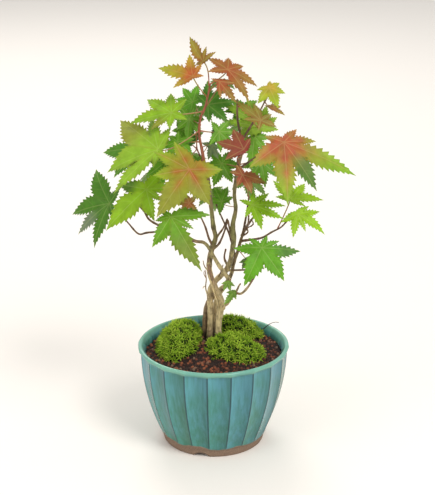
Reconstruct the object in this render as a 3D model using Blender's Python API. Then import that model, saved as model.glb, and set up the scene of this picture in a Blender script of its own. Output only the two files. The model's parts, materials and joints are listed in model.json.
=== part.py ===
"""A small Japanese maple bonsai in a fluted, glazed pot.

Several thin stems are twisted together and rise from a mound of soil and moss. Every stem,
leaf, moss cushion and the pot is a closed solid of its own. Metres, +Z up. The origin is the
centre of the pot on the surface that it stands on, and the tree's front faces -Y. The tables
below hold millimetres, which MM turns into metres.
"""

import math

import bmesh
import bpy
from mathutils import Vector, noise

MM = 0.001
GAP = 0.4  # clearance that neighbouring pieces keep

# ---- Pot: a fluted bowl on a bare clay foot ----
POT_HEIGHT = 75.0
RIM_RADIUS = 56.0
FLUTES = 20
RIDGE_PHASE = 13.5  # degrees from +X to the first ridge
FLUTE_DEPTH = 1.3
FOOT_RADIUS = 37.5
FOOT_WIDTH = 5.5
FOOT_HEIGHT = 6.5
GLAZE_EDGE_RADIUS = 39.5
BELLY = 15.0  # how far the wall swells out from the foot to the lip
BELLY_POWER = 1.9
LIP_BOTTOM = 71.0
WALL = 4.0
FLOOR_UNDER = 4.5
FLOOR_TOP = 9.5
FLOOR_ROUND = (9.0, 10.0)  # how much narrower the inside is at its floor, and how high that reaches
DRAIN_RADIUS = 6.0
NOTCH_HEIGHT = 2.8
NOTCH_STEPS = (0, 13, 27)  # which of the pot's angular steps rise into a notch of the foot

# ---- Soil: a dome around the stems ----
SOIL_EDGE_Z = 68.0
SOIL_RISE = 9.0
SOIL_SPREAD = 46.0
SOIL_CENTRE = (0.0, 6.0)
NET_RADIUS = 11.0
NET_THICKNESS = 1.0
NET_HOLE = 2.6
NET_PITCH = 4.2
ROOT_Z = 58.0  # the stems' lower ends
SOCKET_DEPTH = 40.0
SOCKET_MARGIN = 1.2  # how much wider than its stem a socket is

# ---- Moss cushions: centre, half sizes along X and Y, height above the soil ----
MOSS = {
    "moss_left": ((-25.5, 5.0), (16.0, 26.0), 14.0),
    "moss_front": ((16.0, -10.5), (21.5, 13.0), 9.5),
    "moss_back": ((18.0, 26.5), (18.5, 14.0), 11.5),
}
MOSS_EDGE = 1.6  # how thick a cushion is at its edge
MOSS_LUMP = 0.9  # how high the lumps on it are
LUMP_PITCH = 6.0  # how far apart they are

# ---- Stems and their twigs: a route of points and the radius at each end ----
LONG_TWIG = 6  # a twig with more points than this is thicker at its start
TWIG_RADII = (0.9, 0.6)
LONG_TWIG_RADII = (1.1, 0.6)
STEMS = {
    "stem_tall": {
        "radii": (2.6, 0.55),
        "route": (
            (3.3, 4, ROOT_Z), (3.3, 4, 78), (3.6, 3.5, 91), (5.5, 1, 102), (5.5, -2.5, 110),
            (3, -4.5, 117), (-0.5, -5, 125), (-3, -3, 134), (-2.5, 1, 142), (-0.5, 4.5, 149),
            (1.5, 4, 156), (0, 4, 164), (-1, 4, 174), (-2, 4, 184), (-3, 4, 193), (-4, 4, 203),
            (-6, 2, 211), (-8, 2, 222), (-10, 2, 234), (-9, 2, 245), (-6, 2, 252),
            (-4, 1, 260), (-2, 0, 270),
        ),
        "twigs": (
            (
                (5.5, 0, 105), (9, -1, 105.5), (12, -3, 110), (15.5, -7, 117), (20, -9, 117.5),
                (25, -11, 123.5), (31, -15, 136), (35, -17, 146),
            ),
            ((0, 3.5, 150), (-3, 3, 155), (-6, 3, 165), (-10, 3, 174)),
            ((1, 4, 152), (3, 4, 157), (7, 4, 163), (10, 4, 170)),
            ((-0.8, 3.6, 147), (4, 4.5, 151), (8, 6, 160), (10, 8, 167)),
            ((-3, 4, 192), (-12, 7, 198), (-26, 10, 204), (-38, 11, 210)),
            ((-4, 4, 200), (-7, -6, 207), (-10, -18, 213)),
            ((-4, 4, 202), (-8, 16, 210), (-12, 27, 216)),
        ),
    },
    "stem_hooked": {
        "radii": (2.3, 0.6),
        "route": (
            (-6, 10.5, ROOT_Z), (-6, 10, 78), (-5.9, 9.5, 91), (-4.5, 9, 101), (0, 9, 109),
            (6, 8, 115), (10.5, 3, 120.5), (11, -3, 126), (8, -5, 132), (4, -5.5, 138),
            (0, -5, 145), (-3, -4.5, 151), (-7, -4, 155), (-13, -4, 156), (-20, -3, 159),
            (-30, -1, 163), (-38, 0, 166), (-46, 0, 171), (-50, 2, 177), (-55, 3, 182),
        ),
        "twigs": (
            (
                (-22, -3, 160), (-32, 1, 161.5), (-47, 2, 160.5), (-54, 2, 159.5), (-61, 3, 167),
                (-66, 4, 173),
            ),
            ((-18, -3.5, 158), (-22, -14, 165), (-26, -26, 172)),
        ),
    },
    "stem_right": {
        "radii": (2.5, 0.6),
        "route": (
            (-2.3, 4.5, ROOT_Z), (-2.3, 4.5, 78), (-2.2, 4, 91), (-2.3, 2.5, 103), (-2.5, 0.5, 111),
            (-1.8, 1, 117.5), (1.5, 3.5, 122.5), (6, 6.5, 126), (10, 7, 130), (12.5, 5, 138),
            (13.5, 3, 146), (15, 2, 156), (14, 2, 166), (16, 2, 178), (15, 2, 189), (16, 2, 200),
            (18, 3, 211), (20, 4, 220), (19, 6, 232), (17, 7, 244), (17, 8, 257),
        ),
        "twigs": (
            ((11, 7, 132), (8, 7, 139), (9, 7, 146)),
            ((14.5, 2.5, 154), (12, 2, 162), (10.5, 1, 170)),
            ((9, 8, 129), (15, 6, 130), (24, 4, 131)),
            ((17, 3, 207), (26, -8, 217), (36, -20, 228)),
            ((18, 3, 211), (17, -6, 216), (17, -15, 221)),
            ((19, 5, 226), (25, 6, 236), (32, 6, 248), (37, 6, 258)),
            ((17, 3, 204), (19, 16, 212), (22, 30, 220)),
        ),
    },
    "stem_back": {
        "radii": (2.4, 0.6),
        "route": (
            (1.5, 11.5, ROOT_Z), (1.5, 12, 78), (1.5, 13.5, 92), (2.5, 14.5, 104), (8, 14, 114),
            (13, 13, 124), (15, 12, 134), (18, 10, 144), (20, 8, 153), (23, 7, 161),
            (27, 6, 168), (30, 5, 173),
        ),
        "twigs": (
            (
                (20, 8, 152), (27, 2, 155), (35, -2, 158), (42, -4, 163), (48, -6, 167),
                (52, -8, 172),
            ),
            ((16, 12, 138), (12, 20, 152), (6, 27, 164), (2, 33, 172)),
            ((21, 8, 156), (24, 18, 168), (26, 30, 178)),
            ((24, 7, 163), (25, -4, 170), (25, -12, 178)),
        ),
    },
}

# ---- Leaves ----
# Each row: the hub where the lobes meet; the way the upper side faces, as its turn from -Y
# towards +X and its rise above level; the point on a twig that the stalk runs to; and the
# lobes, as a clock direction seen from the upper side (0 up, 90 right) and a length.
LEAVES = {
    "leaf_top_tip": (
        (-7, 3, 285), (-45, 20), (-3, 0, 269),
        ((245, 8), (304, 28), (352, 11), (45, 12)),
    ),
    "leaf_top_left": (
        (-14, -8, 277), (-20, 38), (-4, 1, 260),
        ((235, 16), (283, 30), (338, 19), (20, 12), (80, 8)),
    ),
    "leaf_top_right": (
        (10, 0, 280), (20, 45), (-2, 0, 270),
        ((275, 14), (320, 17), (20, 12), (75, 14), (120, 24), (152, 26)),
    ),
    "leaf_top_front": (
        (4, -10, 274), (0, 20), (-3, 1, 264),
        ((95, 11), (140, 19), (175, 12), (290, 6)),
    ),
    "leaf_high_right": (
        (39, 6, 266), (10, 50), (37, 6, 258),
        ((15, 7), (60, 10), (110, 12), (165, 17), (220, 15), (265, 9)),
    ),
    "leaf_olive": (
        (33, -8, 246), (10, 40), (30, 6, 245),
        ((200, 8), (280, 12), (318, 24), (348, 15), (60, 10), (115, 12)),
    ),
    "leaf_small_orange": (
        (43, 10, 250), (10, 60), (36, 6, 256),
        ((310, 8), (0, 7), (55, 7), (130, 9)),
    ),
    "leaf_upper_right": (
        (34, 12, 236), (10, 30), (28, 6, 241),
        ((258, 20), (285, 28), (310, 35), (340, 24), (20, 18), (60, 15), (100, 13)),
    ),
    "leaf_shaded_left": (
        (-15, 30, 250), (0, 40), (-9, 3, 244),
        ((190, 15), (240, 13), (285, 13), (330, 15), (15, 16), (60, 13)),
    ),
    "leaf_shaded_middle": (
        (-4, 14, 252), (0, 35), (-8, 2, 248),
        ((175, 13), (225, 11), (315, 12), (0, 20), (40, 17), (80, 20), (130, 19)),
    ),
    "leaf_high_left": (
        (-29, -6, 251), (-15, 50), (-7, 2, 250),
        ((175, 13), (220, 19), (255, 31), (300, 25), (345, 19), (30, 16), (110, 13)),
    ),
    "leaf_long_left": (
        (-38, -18, 228), (-20, 45), (-10, 2, 236),
        ((180, 14), (218, 43), (243, 40), (303, 47), (332, 30), (10, 20)),
    ),
    "leaf_behind_left": (
        (-52, 14, 219), (-30, 40), (-38, 11, 210),
        ((130, 14), (175, 20), (215, 28), (263, 35), (300, 26), (350, 14)),
    ),
    "leaf_red_centre": (
        (-16, -40, 220), (0, 35), (-10, -18, 213),
        ((88, 23), (150, 28), (215, 39), (262, 25), (300, 29), (333, 24)),
    ),
    "leaf_far_left": (
        (-75, 10, 180), (-25, 30), (-66, 4, 173),
        ((150, 12), (195, 32), (222, 31), (258, 30), (320, 32), (20, 14)),
    ),
    "leaf_left": (
        (-47, -14, 198), (-20, 35), (-55, 3, 182),
        ((30, 19), (80, 20), (118, 15), (155, 24), (220, 41), (275, 22)),
    ),
    "leaf_low_left": (
        (-29, -45, 188), (0, 40), (-26, -26, 172),
        ((85, 28), (118, 18), (150, 43), (210, 25), (255, 11), (305, 9)),
    ),
    "leaf_inner_left": (
        (-17, 32, 220), (0, 35), (-12, 27, 216),
        ((225, 12), (270, 11), (315, 14), (0, 15), (50, 13)),
    ),
    "leaf_inner_dark": (
        (2, 36, 222), (0, 35), (-9, 20, 212),
        ((140, 10), (220, 10), (350, 11), (45, 10)),
    ),
    "leaf_red_small": (
        (21, -22, 229), (0, 50), (17, -15, 221),
        ((240, 15), (295, 21), (340, 21), (25, 12)),
    ),
    "leaf_red_front": (
        (20, -32, 214), (10, 45), (17, -12, 219),
        ((110, 18), (160, 15), (210, 10), (290, 9), (340, 9)),
    ),
    "leaf_right_large": (
        (48, -32, 237), (15, 40), (36, -20, 228),
        ((50, 15), (90, 24), (116, 56), (153, 40), (185, 44), (240, 31), (295, 14)),
    ),
    "leaf_middle_right": (
        (29, 10, 230), (0, 30), (20, 6, 230),
        ((45, 9), (95, 12), (140, 14), (185, 25), (230, 12), (320, 8)),
    ),
    "leaf_middle": (
        (6, 20, 207), (0, 35), (18, 10, 207),
        ((325, 15), (40, 15), (95, 14), (150, 16), (200, 18), (260, 13)),
    ),
    "leaf_middle_low": (
        (6, 20, 178), (0, 35), (16, 2, 180),
        ((335, 14), (20, 14), (65, 10), (190, 10), (280, 11)),
    ),
    "leaf_front_right": (
        (27, -28, 191), (10, 45), (25, -12, 178),
        ((15, 12), (55, 17), (90, 25), (115, 24), (165, 19), (215, 11), (300, 10)),
    ),
    "leaf_right": (
        (55, -2, 187), (15, 55), (46, -5, 166),
        ((290, 11), (340, 22), (12, 17), (45, 22), (90, 26), (125, 12)),
    ),
    "leaf_right_low": (
        (59, -20, 182), (15, 45), (52, -8, 172),
        ((60, 12), (85, 18), (130, 24), (165, 14), (200, 18), (250, 14)),
    ),
    "leaf_lowest_right": (
        (34, -24, 158), (10, 40), (35, -17, 146),
        ((30, 11), (70, 15), (95, 29), (150, 28), (210, 30), (275, 20), (315, 12)),
    ),
    "leaf_stem_dark": (
        (24, 1, 140), (0, 40), (18, 9, 145),
        ((100, 5), (150, 6), (205, 8), (250, 6)),
    ),
    "leaf_stem_upper": (
        (10.5, -13, 128), (0, 40), (12.5, -5.5, 127),
        ((120, 6), (165, 7), (210, 7), (260, 5)),
    ),
    "leaf_stem_lower": (
        (15, -14, 121), (10, 30), (18, -8.5, 117.3),
        ((170, 6), (222, 12), (270, 6)),
    ),
    "leaf_mottled": (
        (-17, -6, 185), (0, 35), (-10, 3, 174),
        ((40, 8), (140, 10), (220, 10), (285, 11), (340, 8)),
    ),
    "leaf_mid_left": (
        (-25, 2, 228), (-10, 40), (-10, 2, 228),
        ((70, 12), (125, 14), (165, 16), (205, 17), (250, 14), (305, 9), (355, 9)),
    ),
    "leaf_shaded_small": (
        (-22, 18, 232), (0, 35), (-10, 2, 232),
        ((335, 10), (25, 9), (140, 9), (200, 10), (270, 8)),
    ),
    "leaf_pale": (
        (-1, 14, 222), (0, 10), (-8, 2, 224),
        ((105, 7), (155, 11), (195, 11), (285, 8)),
    ),
    "leaf_inner_small": (
        (-12, 14, 209), (0, 35), (-7, 10, 204),
        ((335, 8), (30, 7), (120, 7), (200, 9), (260, 7)),
    ),
    "leaf_mid_right": (
        (22, 22, 248), (5, 35), (18, 8, 252),
        ((60, 12), (100, 13), (140, 15), (180, 15), (220, 15), (262, 15), (305, 13)),
    ),
    "leaf_mid_upper": (
        (-17, 16, 241), (0, 35), (-9, 3, 240),
        ((20, 10), (90, 11), (140, 14), (185, 16), (230, 12), (275, 12), (325, 12)),
    ),
    "leaf_mid_centre": (
        (4, 0, 236), (0, 30), (-9, 2, 236),
        ((40, 12), (90, 11), (135, 14), (175, 15), (215, 12), (325, 10)),
    ),
    "leaf_mid_low": (
        (-34, 6, 212), (-10, 35), (-38, 11, 210),
        ((60, 13), (110, 16), (150, 20), (190, 22), (230, 18), (275, 14), (325, 11)),
    ),
    "leaf_mid_outer": (
        (34, 8, 212), (10, 35), (17, 6, 210),
        ((45, 11), (90, 14), (135, 17), (175, 19), (215, 17), (255, 14), (320, 12)),
    ),
    "leaf_rear_left": (
        (-42, 34, 198), (-130, 40), (-34, 11, 208),
        ((175, 26), (140, 24), (100, 20), (60, 14), (215, 24), (255, 18), (300, 13)),
    ),
    "leaf_rear_low": (
        (-20, 52, 204), (-165, 40), (-12, 27, 216),
        ((180, 26), (145, 23), (105, 18), (65, 11), (220, 23), (260, 16)),
    ),
    "leaf_rear_high": (
        (-12, 44, 242), (170, 45), (-12, 27, 216),
        ((180, 18), (140, 16), (95, 12), (220, 16), (265, 12)),
    ),
    "leaf_rear_right": (
        (22, 54, 228), (170, 40), (22, 30, 220),
        ((175, 22), (135, 20), (95, 15), (215, 20), (255, 15), (300, 10)),
    ),
    "leaf_rear_outer": (
        (44, 38, 212), (130, 40), (22, 30, 220),
        ((180, 20), (140, 18), (100, 13), (220, 18), (265, 12)),
    ),
    "leaf_rear_lower": (
        (26, 54, 186), (160, 35), (26, 30, 178),
        ((175, 22), (130, 19), (85, 13), (220, 20), (265, 13)),
    ),
    "leaf_rear_middle": (
        (0, 48, 178), (-175, 35), (2, 33, 172),
        ((185, 22), (145, 19), (100, 14), (225, 19), (270, 13), (310, 9)),
    ),
    "leaf_rear_top": (
        (6, 28, 266), (175, 50), (-6, 2, 252),
        ((180, 15), (135, 13), (90, 9), (225, 13), (270, 9)),
    ),
}
BLADE_THICKNESS = 0.7
LOBE_WIDTH = 0.20  # half width of a lobe at its widest, as a share of its length
LOBE_WIDEST = 0.5  # where along the lobe it is widest
SINUS_DEPTH = 0.40  # the notch between two lobes, as a share of the shorter one's length
WIDE_SINUS = 70.0  # degrees; past this the notch runs in close to the hub
WIDE_SINUS_SHARE = 0.45  # how deep such a notch is, against an ordinary one
DROOP = 0.14  # how far a lobe's tip hangs below the leaf's plane, as a share of its length
STALK_RADIUS = 0.6
STALK_STEPS = 3
STALK_DROP = 5.0  # the most a stalk runs straight down from its blade before it turns
STALK_STOP = 1.6  # how far short of its point on the twig a stalk ends

# ---- Colours: red, green, blue; then roughness ----
GLAZE = ((0.11, 0.30, 0.31), 0.18)
EARTH = ((0.045, 0.018, 0.009), 0.95)
NET_BLACK = ((0.02, 0.02, 0.02), 0.5)
MOSS_GREEN = ((0.13, 0.25, 0.015), 0.9)
BARK = ((0.20, 0.13, 0.07), 0.75)
LEAF_GREEN = ((0.24, 0.42, 0.03), 0.5)
LEAF_DARK = ((0.07, 0.22, 0.02), 0.5)
LEAF_RED = ((0.42, 0.12, 0.03), 0.5)
DARK_LEAVES = ("shaded", "behind", "inner", "dark", "far", "rear", "middle")
RED_LEAVES = ("red", "orange", "top_right", "top_front")


def empty_scene():
    for obj in list(bpy.data.objects):
        bpy.data.objects.remove(obj, do_unlink=True)


def principled(name, finish):
    """A Principled material of one colour and roughness."""
    colour, roughness = finish
    material = bpy.data.materials.new(name)
    material.use_nodes = True
    shader = material.node_tree.nodes["Principled BSDF"]
    shader.inputs["Base Color"].default_value = (*colour, 1.0)
    shader.inputs["Roughness"].default_value = roughness
    shader.inputs["Metallic"].default_value = 0.0
    material.diffuse_color = (*colour, 1.0)
    return material


def add_object(name, bm, material, smooth=True):
    """A named object from a bmesh in millimetres, with its faces turned outwards."""
    bmesh.ops.recalc_face_normals(bm, faces=bm.faces)
    bmesh.ops.scale(bm, vec=(MM, MM, MM), verts=bm.verts)
    mesh = bpy.data.meshes.new(name)
    bm.to_mesh(mesh)
    bm.free()
    if smooth:
        mesh.shade_smooth()
        mesh.set_sharp_from_angle(angle=math.radians(40))
    mesh.materials.append(material)
    obj = bpy.data.objects.new(name, mesh)
    bpy.context.scene.collection.objects.link(obj)
    return obj


def combine(obj, tool, operation):
    """A Boolean of the object with a tool that is left out of the build."""
    tool.hide_render = True
    tool.display_type = "WIRE"
    modifier = obj.modifiers.new(operation.title(), "BOOLEAN")
    modifier.operation = operation
    modifier.solver = "EXACT"
    modifier.object = tool


def add_disc(bm, segments, radius, depth):
    """A closed upright cylinder, centred on the bmesh's origin."""
    bmesh.ops.create_cone(
        bm, cap_ends=True, segments=segments, radius1=radius, radius2=radius, depth=depth
    )


def ring(bm, points):
    return [bm.verts.new(p) for p in points]


def join_rings(bm, first, second):
    """A band of faces between two rings of as many points."""
    count = len(first)
    for i in range(count):
        j = (i + 1) % count
        bm.faces.new((first[i], first[j], second[j], second[i]))


def bowl_radius(z):
    """The outer radius of the pot's wall, on a ridge."""
    height = max(0.0, min(1.0, (z - FOOT_HEIGHT) / (LIP_BOTTOM - FOOT_HEIGHT)))
    return GLAZE_EDGE_RADIUS + BELLY * (1.0 - (1.0 - height) ** BELLY_POWER)


def inner_radius(z):
    """The radius of the pot's inner wall."""
    narrowing, reach = FLOOR_ROUND
    return bowl_radius(z) - WALL - narrowing * max(0.0, 1.0 - (z - FLOOR_TOP) / reach) ** 2


def pot_profile():
    """The pot's closed section: radius, height, and how strongly the flutes cut in there."""
    outer = [(FOOT_RADIUS, 0.0, 0.0), (FOOT_RADIUS + 1.0, FOOT_HEIGHT - 1.0, 0.0)]
    outer += [(bowl_radius(z), z, 0.6) for z in (FOOT_HEIGHT, 10.5)]
    outer += [(bowl_radius(z), z, 1.0) for z in (17, 25, 34, 44, 54, 63, 68.5)]
    lip = [(bowl_radius(LIP_BOTTOM), LIP_BOTTOM, 0.6), (RIM_RADIUS, 73.0, 0.2)]
    lip += [(RIM_RADIUS - 0.3, 74.2, 0.0), (RIM_RADIUS - 1.6, POT_HEIGHT, 0.0)]
    lip += [(RIM_RADIUS - 3.2, 74.2, 0.0)]
    inner = [(inner_radius(z), z, 0.0) for z in (71, 58, 44, 32, 22, 14)]
    floor = [(inner_radius(FLOOR_TOP), FLOOR_TOP, 0.0), (DRAIN_RADIUS, FLOOR_TOP, 0.0)]
    under = [(DRAIN_RADIUS, FLOOR_UNDER, 0.0), (FOOT_RADIUS - FOOT_WIDTH - 1.0, FLOOR_UNDER, 0.0)]
    under += [(FOOT_RADIUS - FOOT_WIDTH, 0.0, 0.0)]
    return outer + lip + inner + floor + under


def make_pot():
    """The pot in one piece: flutes outside, a round lip, a drain hole and a notched foot."""
    bm = bmesh.new()
    steps = 2 * FLUTES
    profile = pot_profile()
    rings = []
    for step in range(steps):
        angle = math.radians(RIDGE_PHASE + 180.0 * step / FLUTES)
        points = []
        for radius, z, cut in profile:
            if step % 2:
                radius -= cut * FLUTE_DEPTH
            if z == 0.0 and step in NOTCH_STEPS:
                z = NOTCH_HEIGHT
            points.append((radius * math.cos(angle), radius * math.sin(angle), z))
        rings.append(ring(bm, points))
    for step in range(steps):
        join_rings(bm, rings[step], rings[(step + 1) % steps])
    add_object("pot", bm, principled("glazed_stoneware", GLAZE))


def make_drain_net():
    """The plastic net over the drain hole: a disc with a grid of square holes."""
    bm = bmesh.new()
    bottom = FLOOR_TOP + GAP
    add_disc(bm, 24, NET_RADIUS, NET_THICKNESS)
    bmesh.ops.translate(bm, vec=(0, 0, bottom + NET_THICKNESS / 2), verts=bm.verts)
    net = add_object("drain_net", bm, principled("polyethylene", NET_BLACK))
    holes = bmesh.new()
    for row in (-1, 0, 1):
        for column in (-1, 0, 1):
            made = bmesh.ops.create_cube(holes, size=NET_HOLE)
            place = (NET_PITCH * row, NET_PITCH * column, bottom)
            bmesh.ops.translate(holes, vec=place, verts=made["verts"])
    combine(net, add_object("net_holes", holes, net.data.materials[0]), "DIFFERENCE")


def soil_height(x, y):
    """The top of the soil: a dome around the stems that falls to the edge level."""
    spread = min(1.0, math.hypot(x - SOIL_CENTRE[0], y - SOIL_CENTRE[1]) / SOIL_SPREAD)
    return SOIL_EDGE_Z + SOIL_RISE * (1.0 - spread * spread) ** 2


def make_soil():
    """The soil fills the pot down to its floor, over the net, with a socket for each stem."""
    bm = bmesh.new()
    steps = FLUTES
    net_top = FLOOR_TOP + GAP + NET_THICKNESS + GAP
    edge = [(NET_RADIUS + GAP, net_top), (NET_RADIUS + GAP, FLOOR_TOP + GAP)]
    edge += [(inner_radius(z) - GAP, z + GAP) for z in (FLOOR_TOP, 14, 22, 32, 44, 56)]
    edge += [(inner_radius(SOIL_EDGE_Z) - GAP, SOIL_EDGE_Z)]
    top = [43.0, 34.0, 24.0, 14.0]
    rings = []
    for step in range(steps):
        angle = math.radians(RIDGE_PHASE + 360.0 * step / steps)
        across, along = math.cos(angle), math.sin(angle)
        points = [(r * across, r * along, z) for r, z in edge]
        points += [(r * across, r * along, soil_height(r * across, r * along)) for r in top]
        rings.append(ring(bm, points))
    foot = bm.verts.new((0, 0, net_top))
    crown = bm.verts.new((0, 0, soil_height(0, 0)))
    for step in range(steps):
        this, following = rings[step], rings[(step + 1) % steps]
        for i in range(len(this) - 1):
            bm.faces.new((this[i], following[i], following[i + 1], this[i + 1]))
        bm.faces.new((foot, following[0], this[0]))
        bm.faces.new((crown, this[-1], following[-1]))
    soil = add_object("soil", bm, principled("granular_soil", EARTH))
    for name, stem in STEMS.items():
        base = Vector(stem["route"][0])
        socket = bmesh.new()
        add_disc(socket, 16, stem["radii"][0] + SOCKET_MARGIN, SOCKET_DEPTH)
        middle = base + Vector((0, 0, SOCKET_DEPTH / 2 - GAP))
        bmesh.ops.translate(socket, vec=middle, verts=socket.verts)
        combine(soil, add_object("socket_" + name, socket, soil.data.materials[0]), "DIFFERENCE")


def make_moss(name, centre, half, height):
    """A moss cushion: a lumpy dome that follows the soil under it."""
    bm = bmesh.new()
    sides, bands = 18, 4
    shift = Vector((centre[0], centre[1], height))
    top, under = [], []
    for band in range(bands):
        out = 1.0 - band / bands
        upper, lower = [], []
        for side in range(sides):
            angle = math.tau * side / sides
            heading = Vector((math.cos(angle), math.sin(angle), 0.0))
            reach = 1.0 + 0.10 * noise.noise(heading * 1.7 + shift)
            x = centre[0] + half[0] * out * reach * heading.x
            y = centre[1] + half[1] * out * reach * heading.y
            ground = soil_height(x, y)
            lump = MOSS_LUMP * noise.noise(Vector((x, y, 0.0)) / LUMP_PITCH)
            upper.append((x, y, ground + MOSS_EDGE + height * (1.0 - out ** 3) + lump))
            lower.append((x, y, ground + GAP + 0.2))
        top.append(ring(bm, upper))
        under.append(ring(bm, lower))
    for band in range(bands - 1):
        join_rings(bm, top[band], top[band + 1])
        join_rings(bm, under[band + 1], under[band])
    join_rings(bm, under[0], top[0])
    ground = soil_height(*centre)
    crown = bm.verts.new((centre[0], centre[1], ground + MOSS_EDGE + height))
    base = bm.verts.new((centre[0], centre[1], ground + GAP + 0.2))
    for side in range(sides):
        following = (side + 1) % sides
        bm.faces.new((top[-1][side], top[-1][following], crown))
        bm.faces.new((under[-1][following], under[-1][side], base))
    add_object(name, bm, principled("moss", MOSS_GREEN))


def smooth_route(points, spacing):
    """Points about a spacing apart on a smooth curve through the given ones."""
    points = [Vector(p) for p in points]
    route = []
    for i in range(len(points) - 1):
        before = points[max(i - 1, 0)]
        start, end = points[i], points[i + 1]
        after = points[min(i + 2, len(points) - 1)]
        pieces = max(1, round((end - start).length / spacing))
        for piece in range(pieces):
            t = piece / pieces
            route.append(
                0.5
                * (
                    2 * start
                    + (end - before) * t
                    + (2 * before - 5 * start + 4 * end - after) * t * t
                    + (3 * start - before - 3 * end + after) * t**3
                )
            )
    route.append(points[-1])
    return route


def sweep(bm, route, radius_at, sides, first_ring=None):
    """A closed tube along a route; an existing ring may stand for its first one."""
    count = len(route)
    heading = (route[1] - route[0]).normalized()
    across = heading.orthogonal().normalized()
    if first_ring:
        centre = sum((v.co for v in first_ring), Vector()) / len(first_ring)
        spokes = [(v.co - centre).normalized() for v in first_ring]
        normal = (spokes[0].cross(spokes[1])).normalized()
        if normal.dot(heading) < 0:
            normal.negate()
        turn = normal.rotation_difference(heading)
        spokes = [turn @ spoke for spoke in spokes]
    else:
        other = heading.cross(across)
        angles = [math.tau * side / sides for side in range(sides)]
        spokes = [across * math.cos(a) + other * math.sin(a) for a in angles]
    last = first_ring
    for i in range(1 if first_ring else 0, count):
        new_heading = (route[min(i + 1, count - 1)] - route[max(i - 1, 0)]).normalized()
        turn = heading.rotation_difference(new_heading)
        spokes = [turn @ spoke for spoke in spokes]
        heading = new_heading
        radius = radius_at(i / (count - 1))
        this = ring(bm, [route[i] + spoke * radius for spoke in spokes])
        if last:
            join_rings(bm, last, this)
        else:
            bm.faces.new(this)
        last = this
    bm.faces.new(last)


def tapered(start, end):
    return lambda along: start + (end - start) * along


def make_stem(name, radii, route, twigs):
    """One stem grown together with its twigs."""
    bark = principled("bark_" + name, BARK)
    bm = bmesh.new()
    sweep(bm, smooth_route(route, 7.0), tapered(*radii), 8)
    stem = add_object(name, bm, bark)
    for number, twig in enumerate(twigs):
        bm = bmesh.new()
        twig_radii = LONG_TWIG_RADII if len(twig) > LONG_TWIG else TWIG_RADII
        sweep(bm, smooth_route(twig, 8.0), tapered(*twig_radii), 6)
        combine(stem, add_object(f"{name}_twig_{number}", bm, bark), "UNION")


def leaf_axes(turn, rise):
    """The leaf's facing direction, and the directions right and up within its plane."""
    turn, rise = math.radians(turn), math.radians(rise)
    level = Vector((math.sin(turn), -math.cos(turn), 0.0))
    facing = level * math.cos(rise) + Vector((0.0, 0.0, math.sin(rise)))
    right = Vector((math.cos(turn), math.sin(turn), 0.0))
    return facing, right, facing.cross(right)


def blade_side(bm, place, lobes, gaps, drop):
    """One side of a blade: for each lobe its left and right edge, tip, rib and next notch."""
    longest = max(length for _, length in lobes)
    rows = []
    for i, (clock, length) in enumerate(lobes):
        along = LOBE_WIDEST * length
        edges = []
        for gap in (gaps[i - 1], gaps[i]):
            room = 0.8 * along * math.tan(math.radians(min(gap, 120.0) / 2))
            width = min(LOBE_WIDTH * length, room)
            edges.append((math.degrees(math.atan2(width, along)), math.hypot(along, width)))
        shorter = min(length, lobes[(i + 1) % len(lobes)][1])
        notch = SINUS_DEPTH * shorter * (1.0 if gaps[i] < WIDE_SINUS else WIDE_SINUS_SHARE)
        spots = {
            "left": (clock - edges[0][0], edges[0][1]),
            "tip": (clock, length),
            "right": (clock + edges[1][0], edges[1][1]),
            "sinus": (clock + gaps[i] / 2, notch),
            "rib": (clock, along),
        }
        row = {key: bm.verts.new(place(*spot, longest) - drop) for key, spot in spots.items()}
        rows.append(row)
    return rows


def lobe_edge(rows, i):
    """The outline of lobe i on one side, from the notch before it to the notch after it."""
    row = rows[i]
    return [rows[i - 1]["sinus"], row["left"], row["tip"], row["right"], row["sinus"]]


def fan(bm, hub, outline):
    """Triangles from one point to each step of a closed outline."""
    for first, second in zip(outline, outline[1:] + outline[:1]):
        bm.faces.new((hub, first, second))


def stalk_route(start, end, facing, outward):
    """The stalk's line: away from the blade's underside, then over to the twig."""
    end = end + (start - end).normalized() * STALK_STOP
    reach = (end - start).length
    bend = start - facing * min(STALK_DROP, 0.3 * reach) + outward * 0.15 * reach
    late = end.lerp(bend, 0.4)
    route = []
    for i in range(STALK_STEPS + 1):
        t = i / STALK_STEPS
        u = 1.0 - t
        route.append(start * u**3 + bend * 3 * t * u**2 + late * 3 * t**2 * u + end * t**3)
    return route


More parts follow.
